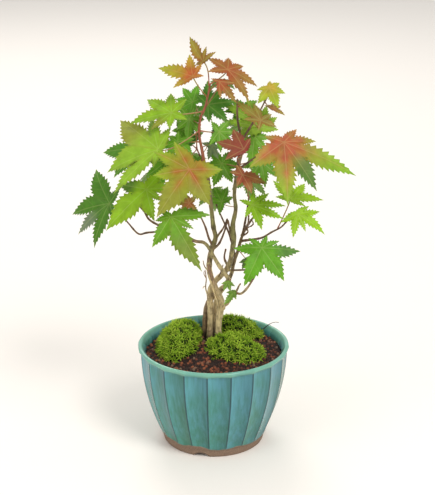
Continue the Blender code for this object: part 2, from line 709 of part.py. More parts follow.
def make_leaf(name, hub, face, stalk_end, lobes):
    """A palmate blade of thin lobes, and its stalk, which leaves the underside at the hub."""
    facing, right, up = leaf_axes(*face)
    hub = Vector(hub)
    lobes = sorted(lobes)
    count = len(lobes)
    gaps = [(lobes[(i + 1) % count][0] - lobes[i][0]) % 360 for i in range(count)]

    def heading(clock):
        return up * math.cos(math.radians(clock)) + right * math.sin(math.radians(clock))

    def place(clock, distance, longest):
        return hub + heading(clock) * distance - facing * (DROOP * distance * distance / longest)

    bm = bmesh.new()
    underside = facing * BLADE_THICKNESS
    top = blade_side(bm, place, lobes, gaps, Vector())
    bottom = blade_side(bm, place, lobes, gaps, underside)
    centre = bm.verts.new(hub)
    collar = []
    for i, (clock, _) in enumerate(lobes):
        spoke = heading(clock + gaps[i] / 2) * STALK_RADIUS
        collar.append(bm.verts.new(hub + spoke - underside))
    for i in range(count):
        edge_top, edge_bottom = lobe_edge(top, i), lobe_edge(bottom, i)
        fan(bm, top[i]["rib"], edge_top + [centre])
        fan(bm, bottom[i]["rib"], edge_bottom + [collar[i], collar[i - 1]])
        for j in range(4):
            bm.faces.new((edge_top[j], edge_bottom[j], edge_bottom[j + 1], edge_top[j + 1]))
    widest = max(range(count), key=lambda i: gaps[i])
    outward = heading(lobes[widest][0] + gaps[widest] / 2)
    route = stalk_route(hub - underside, Vector(stalk_end), facing, outward)
    sweep(bm, route, tapered(STALK_RADIUS, STALK_RADIUS), count, first_ring=collar)
    finish = LEAF_GREEN
    if any(word in name for word in DARK_LEAVES):
        finish = LEAF_DARK
    if any(word in name for word in RED_LEAVES):
        finish = LEAF_RED
    add_object(name, bm, principled("blade_" + name, finish))


def main():
    empty_scene()
    make_pot()
    make_drain_net()
    make_soil()
    for name, (centre, half, height) in MOSS.items():
        make_moss(name, centre, half, height)
    for name, stem in STEMS.items():
        make_stem(name, stem["radii"], stem["route"], stem["twigs"])
    for name, row in LEAVES.items():
        make_leaf(name, *row)


main()
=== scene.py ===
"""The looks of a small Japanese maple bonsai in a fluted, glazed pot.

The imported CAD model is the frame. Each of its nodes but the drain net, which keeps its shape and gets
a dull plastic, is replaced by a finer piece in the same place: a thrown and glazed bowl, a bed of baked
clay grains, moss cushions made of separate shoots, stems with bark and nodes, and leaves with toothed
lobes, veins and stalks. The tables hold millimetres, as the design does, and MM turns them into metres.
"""

import json
import math

import bmesh
import bpy
from bpy.props import FloatProperty, FloatVectorProperty, IntProperty, PointerProperty
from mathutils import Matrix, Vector, noise


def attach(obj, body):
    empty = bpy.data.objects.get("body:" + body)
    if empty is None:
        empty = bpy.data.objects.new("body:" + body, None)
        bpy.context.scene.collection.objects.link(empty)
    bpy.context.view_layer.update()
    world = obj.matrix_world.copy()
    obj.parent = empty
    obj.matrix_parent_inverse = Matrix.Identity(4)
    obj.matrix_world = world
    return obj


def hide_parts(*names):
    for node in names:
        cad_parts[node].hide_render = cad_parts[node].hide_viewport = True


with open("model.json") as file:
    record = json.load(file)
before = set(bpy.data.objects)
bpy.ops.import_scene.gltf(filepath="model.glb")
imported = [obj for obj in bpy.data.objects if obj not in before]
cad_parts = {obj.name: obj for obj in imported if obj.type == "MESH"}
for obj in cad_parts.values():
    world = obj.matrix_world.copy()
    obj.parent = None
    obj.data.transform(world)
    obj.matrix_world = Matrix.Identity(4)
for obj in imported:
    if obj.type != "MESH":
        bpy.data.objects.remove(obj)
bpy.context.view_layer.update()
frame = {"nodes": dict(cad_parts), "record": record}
SLOTS = {part["node"]: part["material_slot"] for part in frame["record"]["subparts"]}

bl_info = {
    "name": "Maple bonsai",
    "version": (1, 0, 0),
    "blender": (4, 5, 0),
    "location": "View3D > Sidebar > Bonsai",
    "description": "Builds the visible pieces of a potted Japanese maple around its CAD frame",
    "category": "Add Mesh",
}

MM = 0.001

# ---- Pot ----
POT_HEIGHT = 75.0
RIM_RADIUS = 56.0
RIDGE_PHASE = 13.5  # degrees from +X to the first ridge
FOOT_RADIUS = 37.5
FOOT_WIDTH = 5.5
FOOT_HEIGHT = 6.5
GLAZE_EDGE_RADIUS = 39.5
BELLY = 15.0
BELLY_POWER = 1.9
LIP_BOTTOM = 71.0
WALL = 4.0
FLOOR_UNDER = 4.5
FLOOR_TOP = 9.5
FLOOR_ROUND = (9.0, 10.0)  # how much narrower the inside is at its floor, and how high that reaches
DRAIN_RADIUS = 6.0
NOTCH_HEIGHT = 2.8
NOTCH_TURNS = (13.5, 130.5, 256.5)  # degrees from +X to each notch in the foot
NOTCH_HALF = 9.5  # half of its width, in degrees
THROWN = 0.0035  # how far the wall strays from a true circle, as a share of its radius
WALL_STEPS = 26
# The lip from outside to inside: radius, height, how strongly the flutes cut in, and how much
# the point belongs to the lip.
LIP = (
    (54.6, 70.8, 0.95, 0.1), (55.0, 71.4, 0.8, 0.6), (55.5, 72.0, 0.6, 1), (55.9, 72.8, 0.4, 1),
    (RIM_RADIUS, 73.5, 0.25, 1), (55.7, 74.2, 0.12, 1), (55.1, 74.7, 0, 1), (54.3, POT_HEIGHT, 0, 1),
    (53.4, 74.8, 0, 1), (52.8, 74.3, 0, 1), (52.3, 73.4, 0, 0.8), (51.7, 72.3, 0, 0.4),
)
INSIDE_HEIGHTS = (71, 67, 62, 56, 49, 41, 33, 25, 19, 14, 11.5)
# Where a flute's columns stand, as shares of its width: close together next to a ridge.
FLUTE_COLUMNS = (0.0, 0.035, 0.1, 0.22, 0.36, 0.5, 0.64, 0.78, 0.9, 0.965, 1.0)

# ---- Soil and moss ----
SOIL_EDGE_Z = 68.0
SOIL_RISE = 9.0
SOIL_SPREAD = 46.0
SOIL_CENTRE = (0.0, 6.0)
SOIL_SIDES = 120
GRAIN_TILT = 1.2  # the most that a grain leans, in radians
SOIL_CLEARANCE = 0.3  # what the soil's skin keeps from the pot's wall
DRY_BLADE = ((34, 29, 69.5), (38, 31, 72.8), (42, 33, 75.5), (46, 34.5, 76.8), (50, 35, 76.6))
MOSS = {
    "moss_left": ((-25.5, 5.0), (16.0, 26.0), 14.0),
    "moss_front": ((16.0, -10.5), (21.5, 13.0), 9.5),
    "moss_back": ((18.0, 26.5), (18.5, 14.0), 11.5),
}

CUSHION_SUNK = 1.7  # how far a cushion's dome lies below the tips of its shoots
CUSHION_LUMP = (2.4, 4.5)  # how high its lumps are, and how far apart
SHOOT_TILT = 0.5  # the most that a shoot leans, in radians
SHOOT_SCALES = (0.65, 1.35)
# A shoot's two whorls: how many leaflets, how far they arch out in radians, and their length
# as a share of the shoot's.
WHORLS = ((5, 1.05, 1.0), (3, 0.35, 0.95))
# A leaflet's two sections before its point: how far along they are, and half of their width.
LEAFLET = ((0.0, 0.05), (0.55, 0.075))

# ---- Stems and their twigs: a route of points and the radius at each end ----
ROOT_Z = 58.0
STEMS = {
    "stem_tall": {
        "radii": (2.6, 0.55),
        "route": (
            (3.3, 4, ROOT_Z), (3.3, 4, 78), (3.6, 3.5, 91), (5.5, 1, 102), (5.5, -2.5, 110),
            (3, -4.5, 117), (-0.5, -5, 125), (-3, -3, 134), (-2.5, 1, 142), (-0.5, 4.5, 149),
            (1.5, 4, 156), (0, 4, 164), (-1, 4, 174), (-2, 4, 184), (-3, 4, 193), (-4, 4, 203),
            (-6, 2, 211), (-8, 2, 222), (-10, 2, 234), (-9, 2, 245), (-6, 2, 252),
            (-4, 1, 260), (-2, 0, 270),
        ),
        "twigs": (
            (
                (5.5, 0, 105), (9, -1, 105.5), (12, -3, 110), (15.5, -7, 117), (20, -9, 117.5),
                (25, -11, 123.5), (31, -15, 136), (35, -17, 146),
            ),
            ((0, 3.5, 150), (-3, 3, 155), (-6, 3, 165), (-10, 3, 174)),
            ((1, 4, 152), (3, 4, 157), (7, 4, 163), (10, 4, 170)),
            ((-0.8, 3.6, 147), (4, 4.5, 151), (8, 6, 160), (10, 8, 167)),
            ((-3, 4, 192), (-12, 7, 198), (-26, 10, 204), (-38, 11, 210)),
            ((-4, 4, 200), (-7, -6, 207), (-10, -18, 213)),
            ((-4, 4, 202), (-8, 16, 210), (-12, 27, 216)),
        ),
    },
    "stem_hooked": {
        "radii": (2.3, 0.6),
        "route": (
            (-6, 10.5, ROOT_Z), (-6, 10, 78), (-5.9, 9.5, 91), (-4.5, 9, 101), (0, 9, 109),
            (6, 8, 115), (10.5, 3, 120.5), (11, -3, 126), (8, -5, 132), (4, -5.5, 138),
            (0, -5, 145), (-3, -4.5, 151), (-7, -4, 155), (-13, -4, 156), (-20, -3, 159),
            (-30, -1, 163), (-38, 0, 166), (-46, 0, 171), (-50, 2, 177), (-55, 3, 182),
        ),
        "twigs": (
            (
                (-22, -3, 160), (-32, 1, 161.5), (-47, 2, 160.5), (-54, 2, 159.5), (-61, 3, 167),
                (-66, 4, 173),
            ),
            ((-18, -3.5, 158), (-22, -14, 165), (-26, -26, 172)),
        ),
    },
    "stem_right": {
        "radii": (2.5, 0.6),
        "route": (
            (-2.3, 4.5, ROOT_Z), (-2.3, 4.5, 78), (-2.2, 4, 91), (-2.3, 2.5, 103), (-2.5, 0.5, 111),
            (-1.8, 1, 117.5), (1.5, 3.5, 122.5), (6, 6.5, 126), (10, 7, 130), (12.5, 5, 138),
            (13.5, 3, 146), (15, 2, 156), (14, 2, 166), (16, 2, 178), (15, 2, 189), (16, 2, 200),
            (18, 3, 211), (20, 4, 220), (19, 6, 232), (17, 7, 244), (17, 8, 257),
        ),
        "twigs": (
            ((11, 7, 132), (8, 7, 139), (9, 7, 146)),
            ((14.5, 2.5, 154), (12, 2, 162), (10.5, 1, 170)),
            ((9, 8, 129), (15, 6, 130), (24, 4, 131)),
            ((17, 3, 207), (26, -8, 217), (36, -20, 228)),
            ((18, 3, 211), (17, -6, 216), (17, -15, 221)),
            ((19, 5, 226), (25, 6, 236), (32, 6, 248), (37, 6, 258)),
            ((17, 3, 204), (19, 16, 212), (22, 30, 220)),
        ),
    },
    "stem_back": {
        "radii": (2.4, 0.6),
        "route": (
            (1.5, 11.5, ROOT_Z), (1.5, 12, 78), (1.5, 13.5, 92), (2.5, 14.5, 104), (8, 14, 114),
            (13, 13, 124), (15, 12, 134), (18, 10, 144), (20, 8, 153), (23, 7, 161),
            (27, 6, 168), (30, 5, 173),
        ),
        "twigs": (
            (
                (20, 8, 152), (27, 2, 155), (35, -2, 158), (42, -4, 163), (48, -6, 167),
                (52, -8, 172),
            ),
            ((16, 12, 138), (12, 20, 152), (6, 27, 164), (2, 33, 172)),
            ((21, 8, 156), (24, 18, 168), (26, 30, 178)),
            ((24, 7, 163), (25, -4, 170), (25, -12, 178)),
        ),
    },
}

STEM_STEP, TWIG_STEP, DRY_STEP = 1.3, 1.1, 0.9  # the spacing of rings along each
STEM_SIDES, TWIG_SIDES, DRY_SIDES, STALK_SIDES = 20, 10, 7, 8
TWIG_RADIUS, LONG_TWIG_RADIUS, TWIG_END_RADIUS = 0.95, 1.15, 0.5
# Heights between which the bark changes, and the radii and distances that it goes by. Below one of these
# heights the hooked stem gets painted shade, and within the last distances of another stem the bark gets
# painted crease shade.
OLD_BARK = (110.0, 160.0)
YOUNG_BARK = (108.0, 135.0)
SOIL_LINE = (84.0, 78.0)
HOOKED_FOOT_SHADE = (116.0, 108.0)
LEADER = (196.0, 210.0)
THIN_SHOOT = (0.7, 1.5)
CREASE_SHADE_REACH = (0.5, 3.6)
CROSSING_TOP = 160.0  # above this the stems stand apart and get no painted crease shade
# Short dead twigs, stubs and curls on a stem: half the thickness, then the route.
DRY_TWIGS = {
    "stem_tall": (
        (0.6, (-3.5, -3.5, 112), (-5.6, -4.5, 120), (-5.2, -4.5, 127), (-6, -4.5, 134)),
        (0.4, (-5.3, -4.5, 128), (-6.8, -5, 131), (-6.6, -5, 133.5)),
        (0.4, (-5.4, -4.5, 121), (-7, -5, 121.5), (-7.6, -5, 120)),
        (0.5, (-4, -3, 133), (-6.5, -4, 137), (-7.4, -4, 141)),
        (
            1.5,
            (-3.4, -3.6, 138), (-2.6, -5.8, 133), (1, -7.6, 124), (4.5, -7, 115), (7.5, -3.5, 107),
            (8, 0, 102),
        ),
        (
            1.0,
            (-3.2, -1.5, 142), (-4, -5, 134), (-1.5, -7, 125), (1, -6.4, 116), (3, -4.5, 108),
            (4, 0, 101),
        ),
        (1.0, (15.5, -7, 117), (17.2, -7.6, 120), (18.4, -8, 123), (19.6, -8.4, 125)),
    ),
    "stem_back": (
        (0.7, (22.5, 7, 157), (25, 6, 159.5), (24.6, 6, 162.5), (27, 5.5, 164)),
        (0.6, (27, 5.5, 164), (28.8, 5, 166), (28, 5, 168.5), (26.6, 5, 169.5)),
        (0.5, (24, 8, 160), (22.5, 8, 164), (23, 8, 170)),
    ),
    "stem_right": (
        (0.6, (6, 7, 126), (9, 6, 133), (11.5, 6, 138)),
        (0.7, (2, 4, 123), (5, 2, 129), (7, 1, 136)),
    ),
}

# ---- Leaves ----
# Each row: the hub where the lobes meet; the way the upper side faces, as its turn from -Y
# towards +X and its rise above level; the point on a twig that the stalk runs to; and the
# lobes, as a clock direction seen from the upper side (0 up, 90 right) and a length.
LEAVES = {
    "leaf_top_tip": (
        (-7, 3, 285), (-45, 20), (-3, 0, 269),
        ((245, 8), (304, 28), (352, 11), (45, 12)),
    ),
    "leaf_top_left": (
        (-14, -8, 277), (-20, 38), (-4, 1, 260),
        ((235, 16), (283, 30), (338, 19), (20, 12), (80, 8)),
    ),
    "leaf_top_right": (
        (10, 0, 280), (20, 45), (-2, 0, 270),
        ((275, 14), (320, 17), (20, 12), (75, 14), (120, 24), (152, 26)),
    ),
    "leaf_top_front": (
        (4, -10, 274), (0, 20), (-3, 1, 264),
        ((95, 11), (140, 19), (175, 12), (290, 6)),
    ),
    "leaf_high_right": (
        (39, 6, 266), (10, 50), (37, 6, 258),
        ((15, 7), (60, 10), (110, 12), (165, 17), (220, 15), (265, 9)),
    ),
    "leaf_olive": (
        (33, -8, 246), (10, 40), (30, 6, 245),
        ((200, 8), (280, 12), (318, 24), (348, 15), (60, 10), (115, 12)),
    ),
    "leaf_small_orange": (
        (43, 10, 250), (10, 60), (36, 6, 256),
        ((310, 8), (0, 7), (55, 7), (130, 9)),
    ),
    "leaf_upper_right": (
        (34, 12, 236), (10, 30), (28, 6, 241),
        ((258, 20), (285, 28), (310, 35), (340, 24), (20, 18), (60, 15), (100, 13)),
    ),
    "leaf_shaded_left": (
        (-15, 30, 250), (0, 40), (-9, 3, 244),
        ((190, 15), (240, 13), (285, 13), (330, 15), (15, 16), (60, 13)),
    ),
    "leaf_shaded_middle": (
        (-4, 14, 252), (0, 35), (-8, 2, 248),
        ((175, 13), (225, 11), (315, 12), (0, 20), (40, 17), (80, 20), (130, 19)),
    ),
    "leaf_high_left": (
        (-29, -6, 251), (-15, 50), (-7, 2, 250),
        ((175, 13), (220, 19), (255, 31), (300, 25), (345, 19), (30, 16), (110, 13)),
    ),
    "leaf_long_left": (
        (-38, -18, 228), (-20, 45), (-10, 2, 236),
        ((180, 14), (218, 43), (243, 40), (303, 47), (332, 30), (10, 20)),
    ),
    "leaf_behind_left": (
        (-52, 14, 219), (-30, 40), (-38, 11, 210),
        ((130, 14), (175, 20), (215, 28), (263, 35), (300, 26), (350, 14)),
    ),
    "leaf_red_centre": (
        (-16, -40, 220), (0, 35), (-10, -18, 213),
        ((88, 23), (150, 28), (215, 39), (262, 25), (300, 29), (333, 24)),
    ),
    "leaf_far_left": (
        (-75, 10, 180), (-25, 30), (-66, 4, 173),
        ((150, 12), (198, 34), (228, 36), (254, 37), (317, 36), (20, 14)),
    ),
    "leaf_left": (
        (-47, -14, 198), (-20, 35), (-55, 3, 182),
        ((30, 19), (80, 20), (118, 15), (155, 24), (220, 41), (275, 22)),
    ),
    "leaf_low_left": (
        (-29, -45, 188), (0, 40), (-26, -26, 172),
        ((85, 28), (118, 18), (150, 43), (210, 25), (255, 11), (305, 9)),
    ),
    "leaf_inner_left": (
        (-17, 32, 220), (0, 35), (-12, 27, 216),
        ((225, 12), (270, 11), (315, 14), (0, 15), (50, 13)),
    ),
    "leaf_inner_dark": (
        (2, 36, 222), (0, 35), (-9, 20, 212),
        ((140, 10), (220, 10), (350, 11), (45, 10)),
    ),
    "leaf_red_small": (
        (21, -22, 229), (0, 50), (17, -15, 221),
        ((240, 15), (295, 21), (340, 21), (25, 12)),
    ),
    "leaf_red_front": (
        (20, -32, 214), (10, 45), (17, -12, 219),
        ((110, 18), (160, 15), (210, 10), (290, 9), (340, 9)),
    ),
    "leaf_right_large": (
        (48, -32, 237), (15, 40), (36, -20, 228),
        ((50, 15), (90, 24), (116, 56), (153, 40), (185, 44), (240, 31), (295, 14)),
    ),
    "leaf_middle_right": (
        (29, 10, 230), (0, 30), (20, 6, 230),
        ((45, 9), (95, 12), (140, 14), (185, 25), (230, 12), (320, 8)),
    ),
    "leaf_middle": (
        (6, 20, 207), (0, 35), (18, 10, 207),
        ((325, 15), (40, 15), (95, 14), (150, 16), (200, 18), (260, 13)),
    ),
    "leaf_middle_low": (
        (6, 20, 178), (0, 35), (16, 2, 180),
        ((335, 14), (20, 14), (65, 10), (190, 10), (280, 11)),
    ),
    "leaf_front_right": (
        (27, -28, 191), (10, 45), (25, -12, 178),
        ((15, 12), (55, 17), (90, 25), (115, 24), (165, 19), (215, 11), (300, 10)),
    ),
    "leaf_right": (
        (55, -2, 187), (15, 55), (46, -5, 166),
        ((290, 11), (340, 22), (12, 17), (45, 22), (90, 26), (125, 12)),
    ),
    "leaf_right_low": (
        (59, -20, 182), (15, 45), (52, -8, 172),
        ((60, 12), (85, 18), (130, 24), (165, 14), (200, 18), (250, 14)),
    ),
    "leaf_lowest_right": (
        (34, -24, 158), (10, 40), (35, -17, 146),
        ((30, 11), (70, 15), (95, 29), (150, 28), (210, 30), (275, 20), (315, 12)),
    ),
    "leaf_stem_dark": (
        (24, 1, 140), (0, 40), (18, 9, 145),
        ((100, 5), (150, 6), (205, 8), (250, 6)),
    ),
    "leaf_stem_upper": (
        (10.5, -13, 128), (0, 40), (12.5, -5.5, 127),
        ((120, 6), (165, 7), (210, 7), (260, 5)),
    ),
    "leaf_stem_lower": (
        (15, -14, 121), (10, 30), (18, -8.5, 117.3),
        ((170, 6), (222, 12), (270, 6)),
    ),
    "leaf_mottled": (
        (-17, -6, 185), (0, 35), (-10, 3, 174),
        ((40, 8), (140, 10), (220, 10), (285, 11), (340, 8)),
    ),
    "leaf_mid_left": (
        (-25, 2, 228), (-10, 40), (-10, 2, 228),
        ((70, 12), (125, 14), (165, 16), (205, 17), (250, 14), (305, 9), (355, 9)),
    ),
    "leaf_shaded_small": (
        (-22, 18, 232), (0, 35), (-10, 2, 232),
        ((335, 10), (25, 9), (140, 9), (200, 10), (270, 8)),
    ),
    "leaf_pale": (
        (-1, 14, 222), (0, 10), (-8, 2, 224),
        ((105, 7), (155, 11), (195, 11), (285, 8)),
    ),
    "leaf_inner_small": (
        (-12, 14, 209), (0, 35), (-7, 10, 204),
        ((335, 8), (30, 7), (120, 7), (200, 9), (260, 7)),
    ),
    "leaf_mid_right": (
        (22, 22, 248), (5, 35), (18, 8, 252),
        ((60, 12), (100, 13), (140, 15), (180, 15), (220, 15), (262, 15), (305, 13)),
    ),
    "leaf_mid_upper": (
        (-17, 16, 241), (0, 35), (-9, 3, 240),
        ((20, 10), (90, 11), (140, 14), (185, 16), (230, 12), (275, 12), (325, 12)),
    ),
    "leaf_mid_centre": (
        (4, 0, 236), (0, 30), (-9, 2, 236),
        ((40, 12), (90, 11), (135, 14), (175, 15), (215, 12), (325, 10)),
    ),
    "leaf_mid_low": (
        (-34, 6, 212), (-10, 35), (-38, 11, 210),
        ((60, 13), (110, 16), (150, 20), (190, 22), (230, 18), (275, 14), (325, 11)),
    ),
    "leaf_mid_outer": (
        (34, 8, 212), (10, 35), (17, 6, 210),
        ((45, 11), (90, 14), (135, 17), (175, 19), (215, 17), (255, 14), (320, 12)),
    ),
    "leaf_rear_left": (
        (-42, 34, 198), (-130, 40), (-34, 11, 208),
        ((175, 26), (140, 24), (100, 20), (60, 14), (215, 24), (255, 18), (300, 13)),
    ),
    "leaf_rear_low": (
        (-20, 52, 204), (-165, 40), (-12, 27, 216),
        ((180, 26), (145, 23), (105, 18), (65, 11), (220, 23), (260, 16)),
    ),
    "leaf_rear_high": (
        (-12, 44, 242), (170, 45), (-12, 27, 216),
        ((180, 18), (140, 16), (95, 12), (220, 16), (265, 12)),
    ),
    "leaf_rear_right": (
        (22, 54, 228), (170, 40), (22, 30, 220),
        ((175, 22), (135, 20), (95, 15), (215, 20), (255, 15), (300, 10)),
    ),
    "leaf_rear_outer": (
        (44, 38, 212), (130, 40), (22, 30, 220),
        ((180, 20), (140, 18), (100, 13), (220, 18), (265, 12)),
    ),
    "leaf_rear_lower": (
        (26, 54, 186), (160, 35), (26, 30, 178),
        ((175, 22), (130, 19), (85, 13), (220, 20), (265, 13)),
    ),
    "leaf_rear_middle": (
        (0, 48, 178), (-175, 35), (2, 33, 172),
        ((185, 22), (145, 19), (100, 14), (225, 19), (270, 13), (310, 9)),
    ),
    "leaf_rear_top": (
        (6, 28, 266), (175, 50), (-6, 2, 252),
        ((180, 15), (135, 13), (90, 9), (225, 13), (270, 9)),
    ),
}
# How a leaf's lobes are cut: the notch between two as a share of the shorter one's length, and
# half of a lobe's width as a share of its length.
CUT = (0.44, 0.205)
OWN_CUT = {
    "leaf_red_centre": (0.5, 0.21),
    "leaf_long_left": (0.5, 0.2),
    "leaf_high_left": (0.42, 0.2),
    "leaf_left": (0.42, 0.21),
    "leaf_far_left": (0.36, 0.18),
    "leaf_low_left": (0.4, 0.2),
    "leaf_front_right": (0.3, 0.18),
    "leaf_right": (0.34, 0.19),
    "leaf_right_low": (0.32, 0.185),
    "leaf_lowest_right": (0.36, 0.2),
    "leaf_right_large": (0.42, 0.185),
    "leaf_top_right": (0.38, 0.19),
    "leaf_top_left": (0.34, 0.16),
    "leaf_top_tip": (0.34, 0.15),
    "leaf_top_front": (0.38, 0.17),
    "leaf_olive": (0.4, 0.18),
}
WIDE_SINUS = 70.0  # degrees; past this the notch runs in close to the hub
WIDE_SINUS_SHARE = 0.5
DROOP = 0.14  # how far a lobe's tip hangs below the leaf's plane, as a share of its length
PALM_SHARE = 0.24  # the part of a lobe's rib that lies in the palm, where the lobes are joined
PALM_ROWS = 4  # rows of faces across the palm
COLUMNS = (0.16, 0.45, 0.75, 1.0)  # where the points of a row stand, from the rib to the edge
ROW_SPREAD = 1.12  # over 1, the rows of a lobe lie closer together near the palm
LOBE_ROOM = 0.4  # half of a lobe's greatest width next to its neighbour, as a share of its length
WIDEST_GAP = 120.0  # degrees; past this a wider gap leaves a lobe no more room
# The two controls that curve a lobe's edge: shares of half of its width, and of its reach.
LOBE_BELLY = (1.75, 0.30)
LOBE_POINT = (0.30, 0.72)
TEETH = (4, 11)  # the fewest and the most on one side of a lobe
# A tooth, as shares of the tooth pitch: how far its point stands out and leans forward, and how
# far the edge falls back before the next one.
TOOTH = (0.34, 0.42, 0.20)

# Each leaf's colour, the colour of its flush, and how strong that flush is around the hub,
# along the ribs and along the edge.
FRESH = ("#90c22a", "#b9a63c", 0.1, 0.1, 0.15)
DEEP = ("#6ba52a", "#8a9a38", 0.0, 0.05, 0.1)
# The darkest blades (leaf_inner_dark, leaf_inner_left, leaf_stem_dark, leaf_shaded_middle,
# leaf_shaded_left, leaf_behind_left) are partly their own deeper green and partly painted shade of the
# inner and rear crown.
LEAF_LOOKS_AND_SHADE = {
    "leaf_top_tip": ("#b0a440", "#a5602f", 0.4, 0.2, 0.9),
    "leaf_top_left": ("#b4bd38", "#bf6236", 0.8, 0.4, 0.25),
    "leaf_top_right": ("#a8883e", "#ab5a34", 0.9, 0.6, 0.5),
    "leaf_top_front": ("#a08440", "#a85634", 0.9, 0.5, 0.5),
    "leaf_high_right": ("#a6c02e", "#cf9440", 0.6, 0.1, 0.0),
    "leaf_olive": ("#93983a", "#a8683a", 0.4, 0.5, 0.7),
    "leaf_small_orange": ("#a0903c", "#b0643a", 0.6, 0.3, 0.6),
    "leaf_upper_right": ("#9cc83e", "#a89a3c", 0.1, 0.1, 0.1),
    "leaf_shaded_left": ("#66a828", "#7f9a32", 0.0, 0.0, 0.15),
    "leaf_shaded_middle": ("#56942e", "#76a83c", 0.0, 0.2, 0.0),
    "leaf_high_left": ("#93c02c", "#a08a38", 0.0, 0.0, 0.3),
    "leaf_long_left": ("#9bc638", "#9c7a38", 0.0, 0.1, 0.3),
    "leaf_behind_left": ("#5d9a2a", "#7a9232", 0.0, 0.0, 0.15),
    "leaf_red_centre": ("#90bb2e", "#b0562e", 0.6, 0.75, 0.05),
    "leaf_far_left": ("#558c26", "#7a8438", 0.0, 0.0, 0.15),
    "leaf_left": ("#98c428", "#a99a38", 0.0, 0.0, 0.2),
    "leaf_low_left": ("#70a824", "#98803a", 0.0, 0.05, 0.25),
    "leaf_inner_left": ("#4d8030", "#5c8030", 0.0, 0.0, 0.0),
    "leaf_inner_dark": ("#3f6e2c", "#5c8030", 0.0, 0.0, 0.0),
    "leaf_red_small": ("#96583c", "#96453a", 0.8, 0.6, 0.4),
    "leaf_red_front": ("#94763c", "#a5503a", 0.9, 0.6, 0.4),
    "leaf_right_large": ("#95c436", "#b85f3c", 1.0, 0.5, 0.0),
    "leaf_front_right": ("#96c624", "#a0a83a", 0.0, 0.0, 0.1),
    "leaf_right": ("#a2cc26", "#b0b03a", 0.0, 0.0, 0.1),
    "leaf_right_low": ("#a2cf24", "#b0b03a", 0.0, 0.0, 0.1),
    "leaf_lowest_right": ("#6cae22", "#8a9c34", 0.0, 0.0, 0.1),
    "leaf_mottled": ("#8a9438", "#a85a38", 0.8, 0.6, 0.4),
    "leaf_pale": ("#8aa27a", "#8aa27a", 0.0, 0.0, 0.0),
    "leaf_stem_upper": ("#84b046", "#a9a83c", 0.0, 0.0, 0.1),
    "leaf_stem_lower": ("#84b046", "#a9a83c", 0.0, 0.0, 0.1),
    "leaf_stem_dark": ("#4f7434", "#5c8030", 0.0, 0.0, 0.1),
    "leaf_middle_right": ("#74ac30", "#8f9c34", 0.0, 0.0, 0.1),
}
# Lobes with a tone of their own, by leaf and clock direction. The dark green lobes of leaf_right_large
# at 153 and leaf_left at 275 are painted shade; the others are olive, grey or dull green tints of the
# lobe.
LOBE_TONES_AND_SHADE = {
    ("leaf_right_large", 153): "#4c7f38",
    ("leaf_left", 275): "#547f30",
    ("leaf_lowest_right", 95): "#62904a",
    ("leaf_low_left", 150): "#86983a",
    ("leaf_far_left", 228): "#84907a",
    ("leaf_long_left", 303): "#a0a040",
    ("leaf_high_left", 220): "#93913a",
    ("leaf_red_centre", 150): "#9a9838",
    ("leaf_red_centre", 215): "#98953a",
}
# How much more than others a leaf's lobes hang.
HANGING = {"leaf_far_left": 2.3, "leaf_top_right": 1.6, "leaf_top_front": 1.6, "leaf_right_low": 1.4}


def linear(code):
    """An sRGB hex colour as linear red, green, blue and alpha."""
    channels = [int(code[i : i + 2], 16) / 255.0 for i in (1, 3, 5)]
    return [c / 12.92 if c <= 0.04045 else ((c + 0.055) / 1.055) ** 2.4 for c in channels] + [1.0]


def colour(name, description, code):
    """A colour property whose default is an sRGB hex value."""
    return FloatVectorProperty(
        name=name, description=description, default=linear(code), subtype="COLOR", size=4, min=0, max=1
    )


def length(name, description, millimetres):
    """A length property whose default is given in millimetres."""
    return FloatProperty(
        name=name, description=description, default=millimetres * MM, min=0.0, unit="LENGTH", precision=5
    )


class PotSettings(bpy.types.PropertyGroup):
    """The glazed bowl."""

    flutes: IntProperty(name="Flutes", description="Facets around the wall", default=20, min=3)
    flute_depth: length("Flute depth", "How far a facet is cut in at its middle", 1.3)
    glaze_blue: colour("Blue glaze", "Glaze where it lies thick and cool", "#4f8793")
    glaze_green: colour("Green glaze", "Glaze where it runs thin and green", "#427d6c")
    glaze_ridge: colour("Ridge", "Where the glaze breaks over a ridge", "#26383f")
    glaze_lip: colour("Lip", "Pale glaze on the lip", "#74ad98")
    clay: colour("Clay", "Bare fired clay of the foot", "#86705f")


class SoilSettings(bpy.types.PropertyGroup):
    """The bed of compost and baked clay grains."""

    pitch: length("Grain pitch", "Least distance between two grains", 1.45)
    smallest: length("Smallest grain", "Half width of the smallest grains", 0.5)
    largest: length("Largest grain", "Half width of the largest grains", 1.25)
    earth: colour("Earth", "Moist compost between the grains", "#20130d")
    dark_grain: colour("Dark grain", "Wet grains and bark crumbs", "#2e1b14")
    red_grain: colour("Red grain", "Baked clay grains", "#6d3a26")
    seed: IntProperty(name="Seed", description="Places the grains", default=11)


class MossSettings(bpy.types.PropertyGroup):
    """The moss cushions."""

    pitch: length("Shoot pitch", "Least distance between two shoots", 1.5)
    shoot: length("Shoot length", "Length of a shoot's leaflets", 3.5)
    tip: colour("Tips", "Young leaflet tips", "#c4da56")
    middle: colour("Middle", "Leaflets half way down", "#74a62a")
    deep: colour("Deep", "The dark inside of a cushion", "#304e0e")
    seed: IntProperty(name="Seed", description="Places the shoots", default=5)


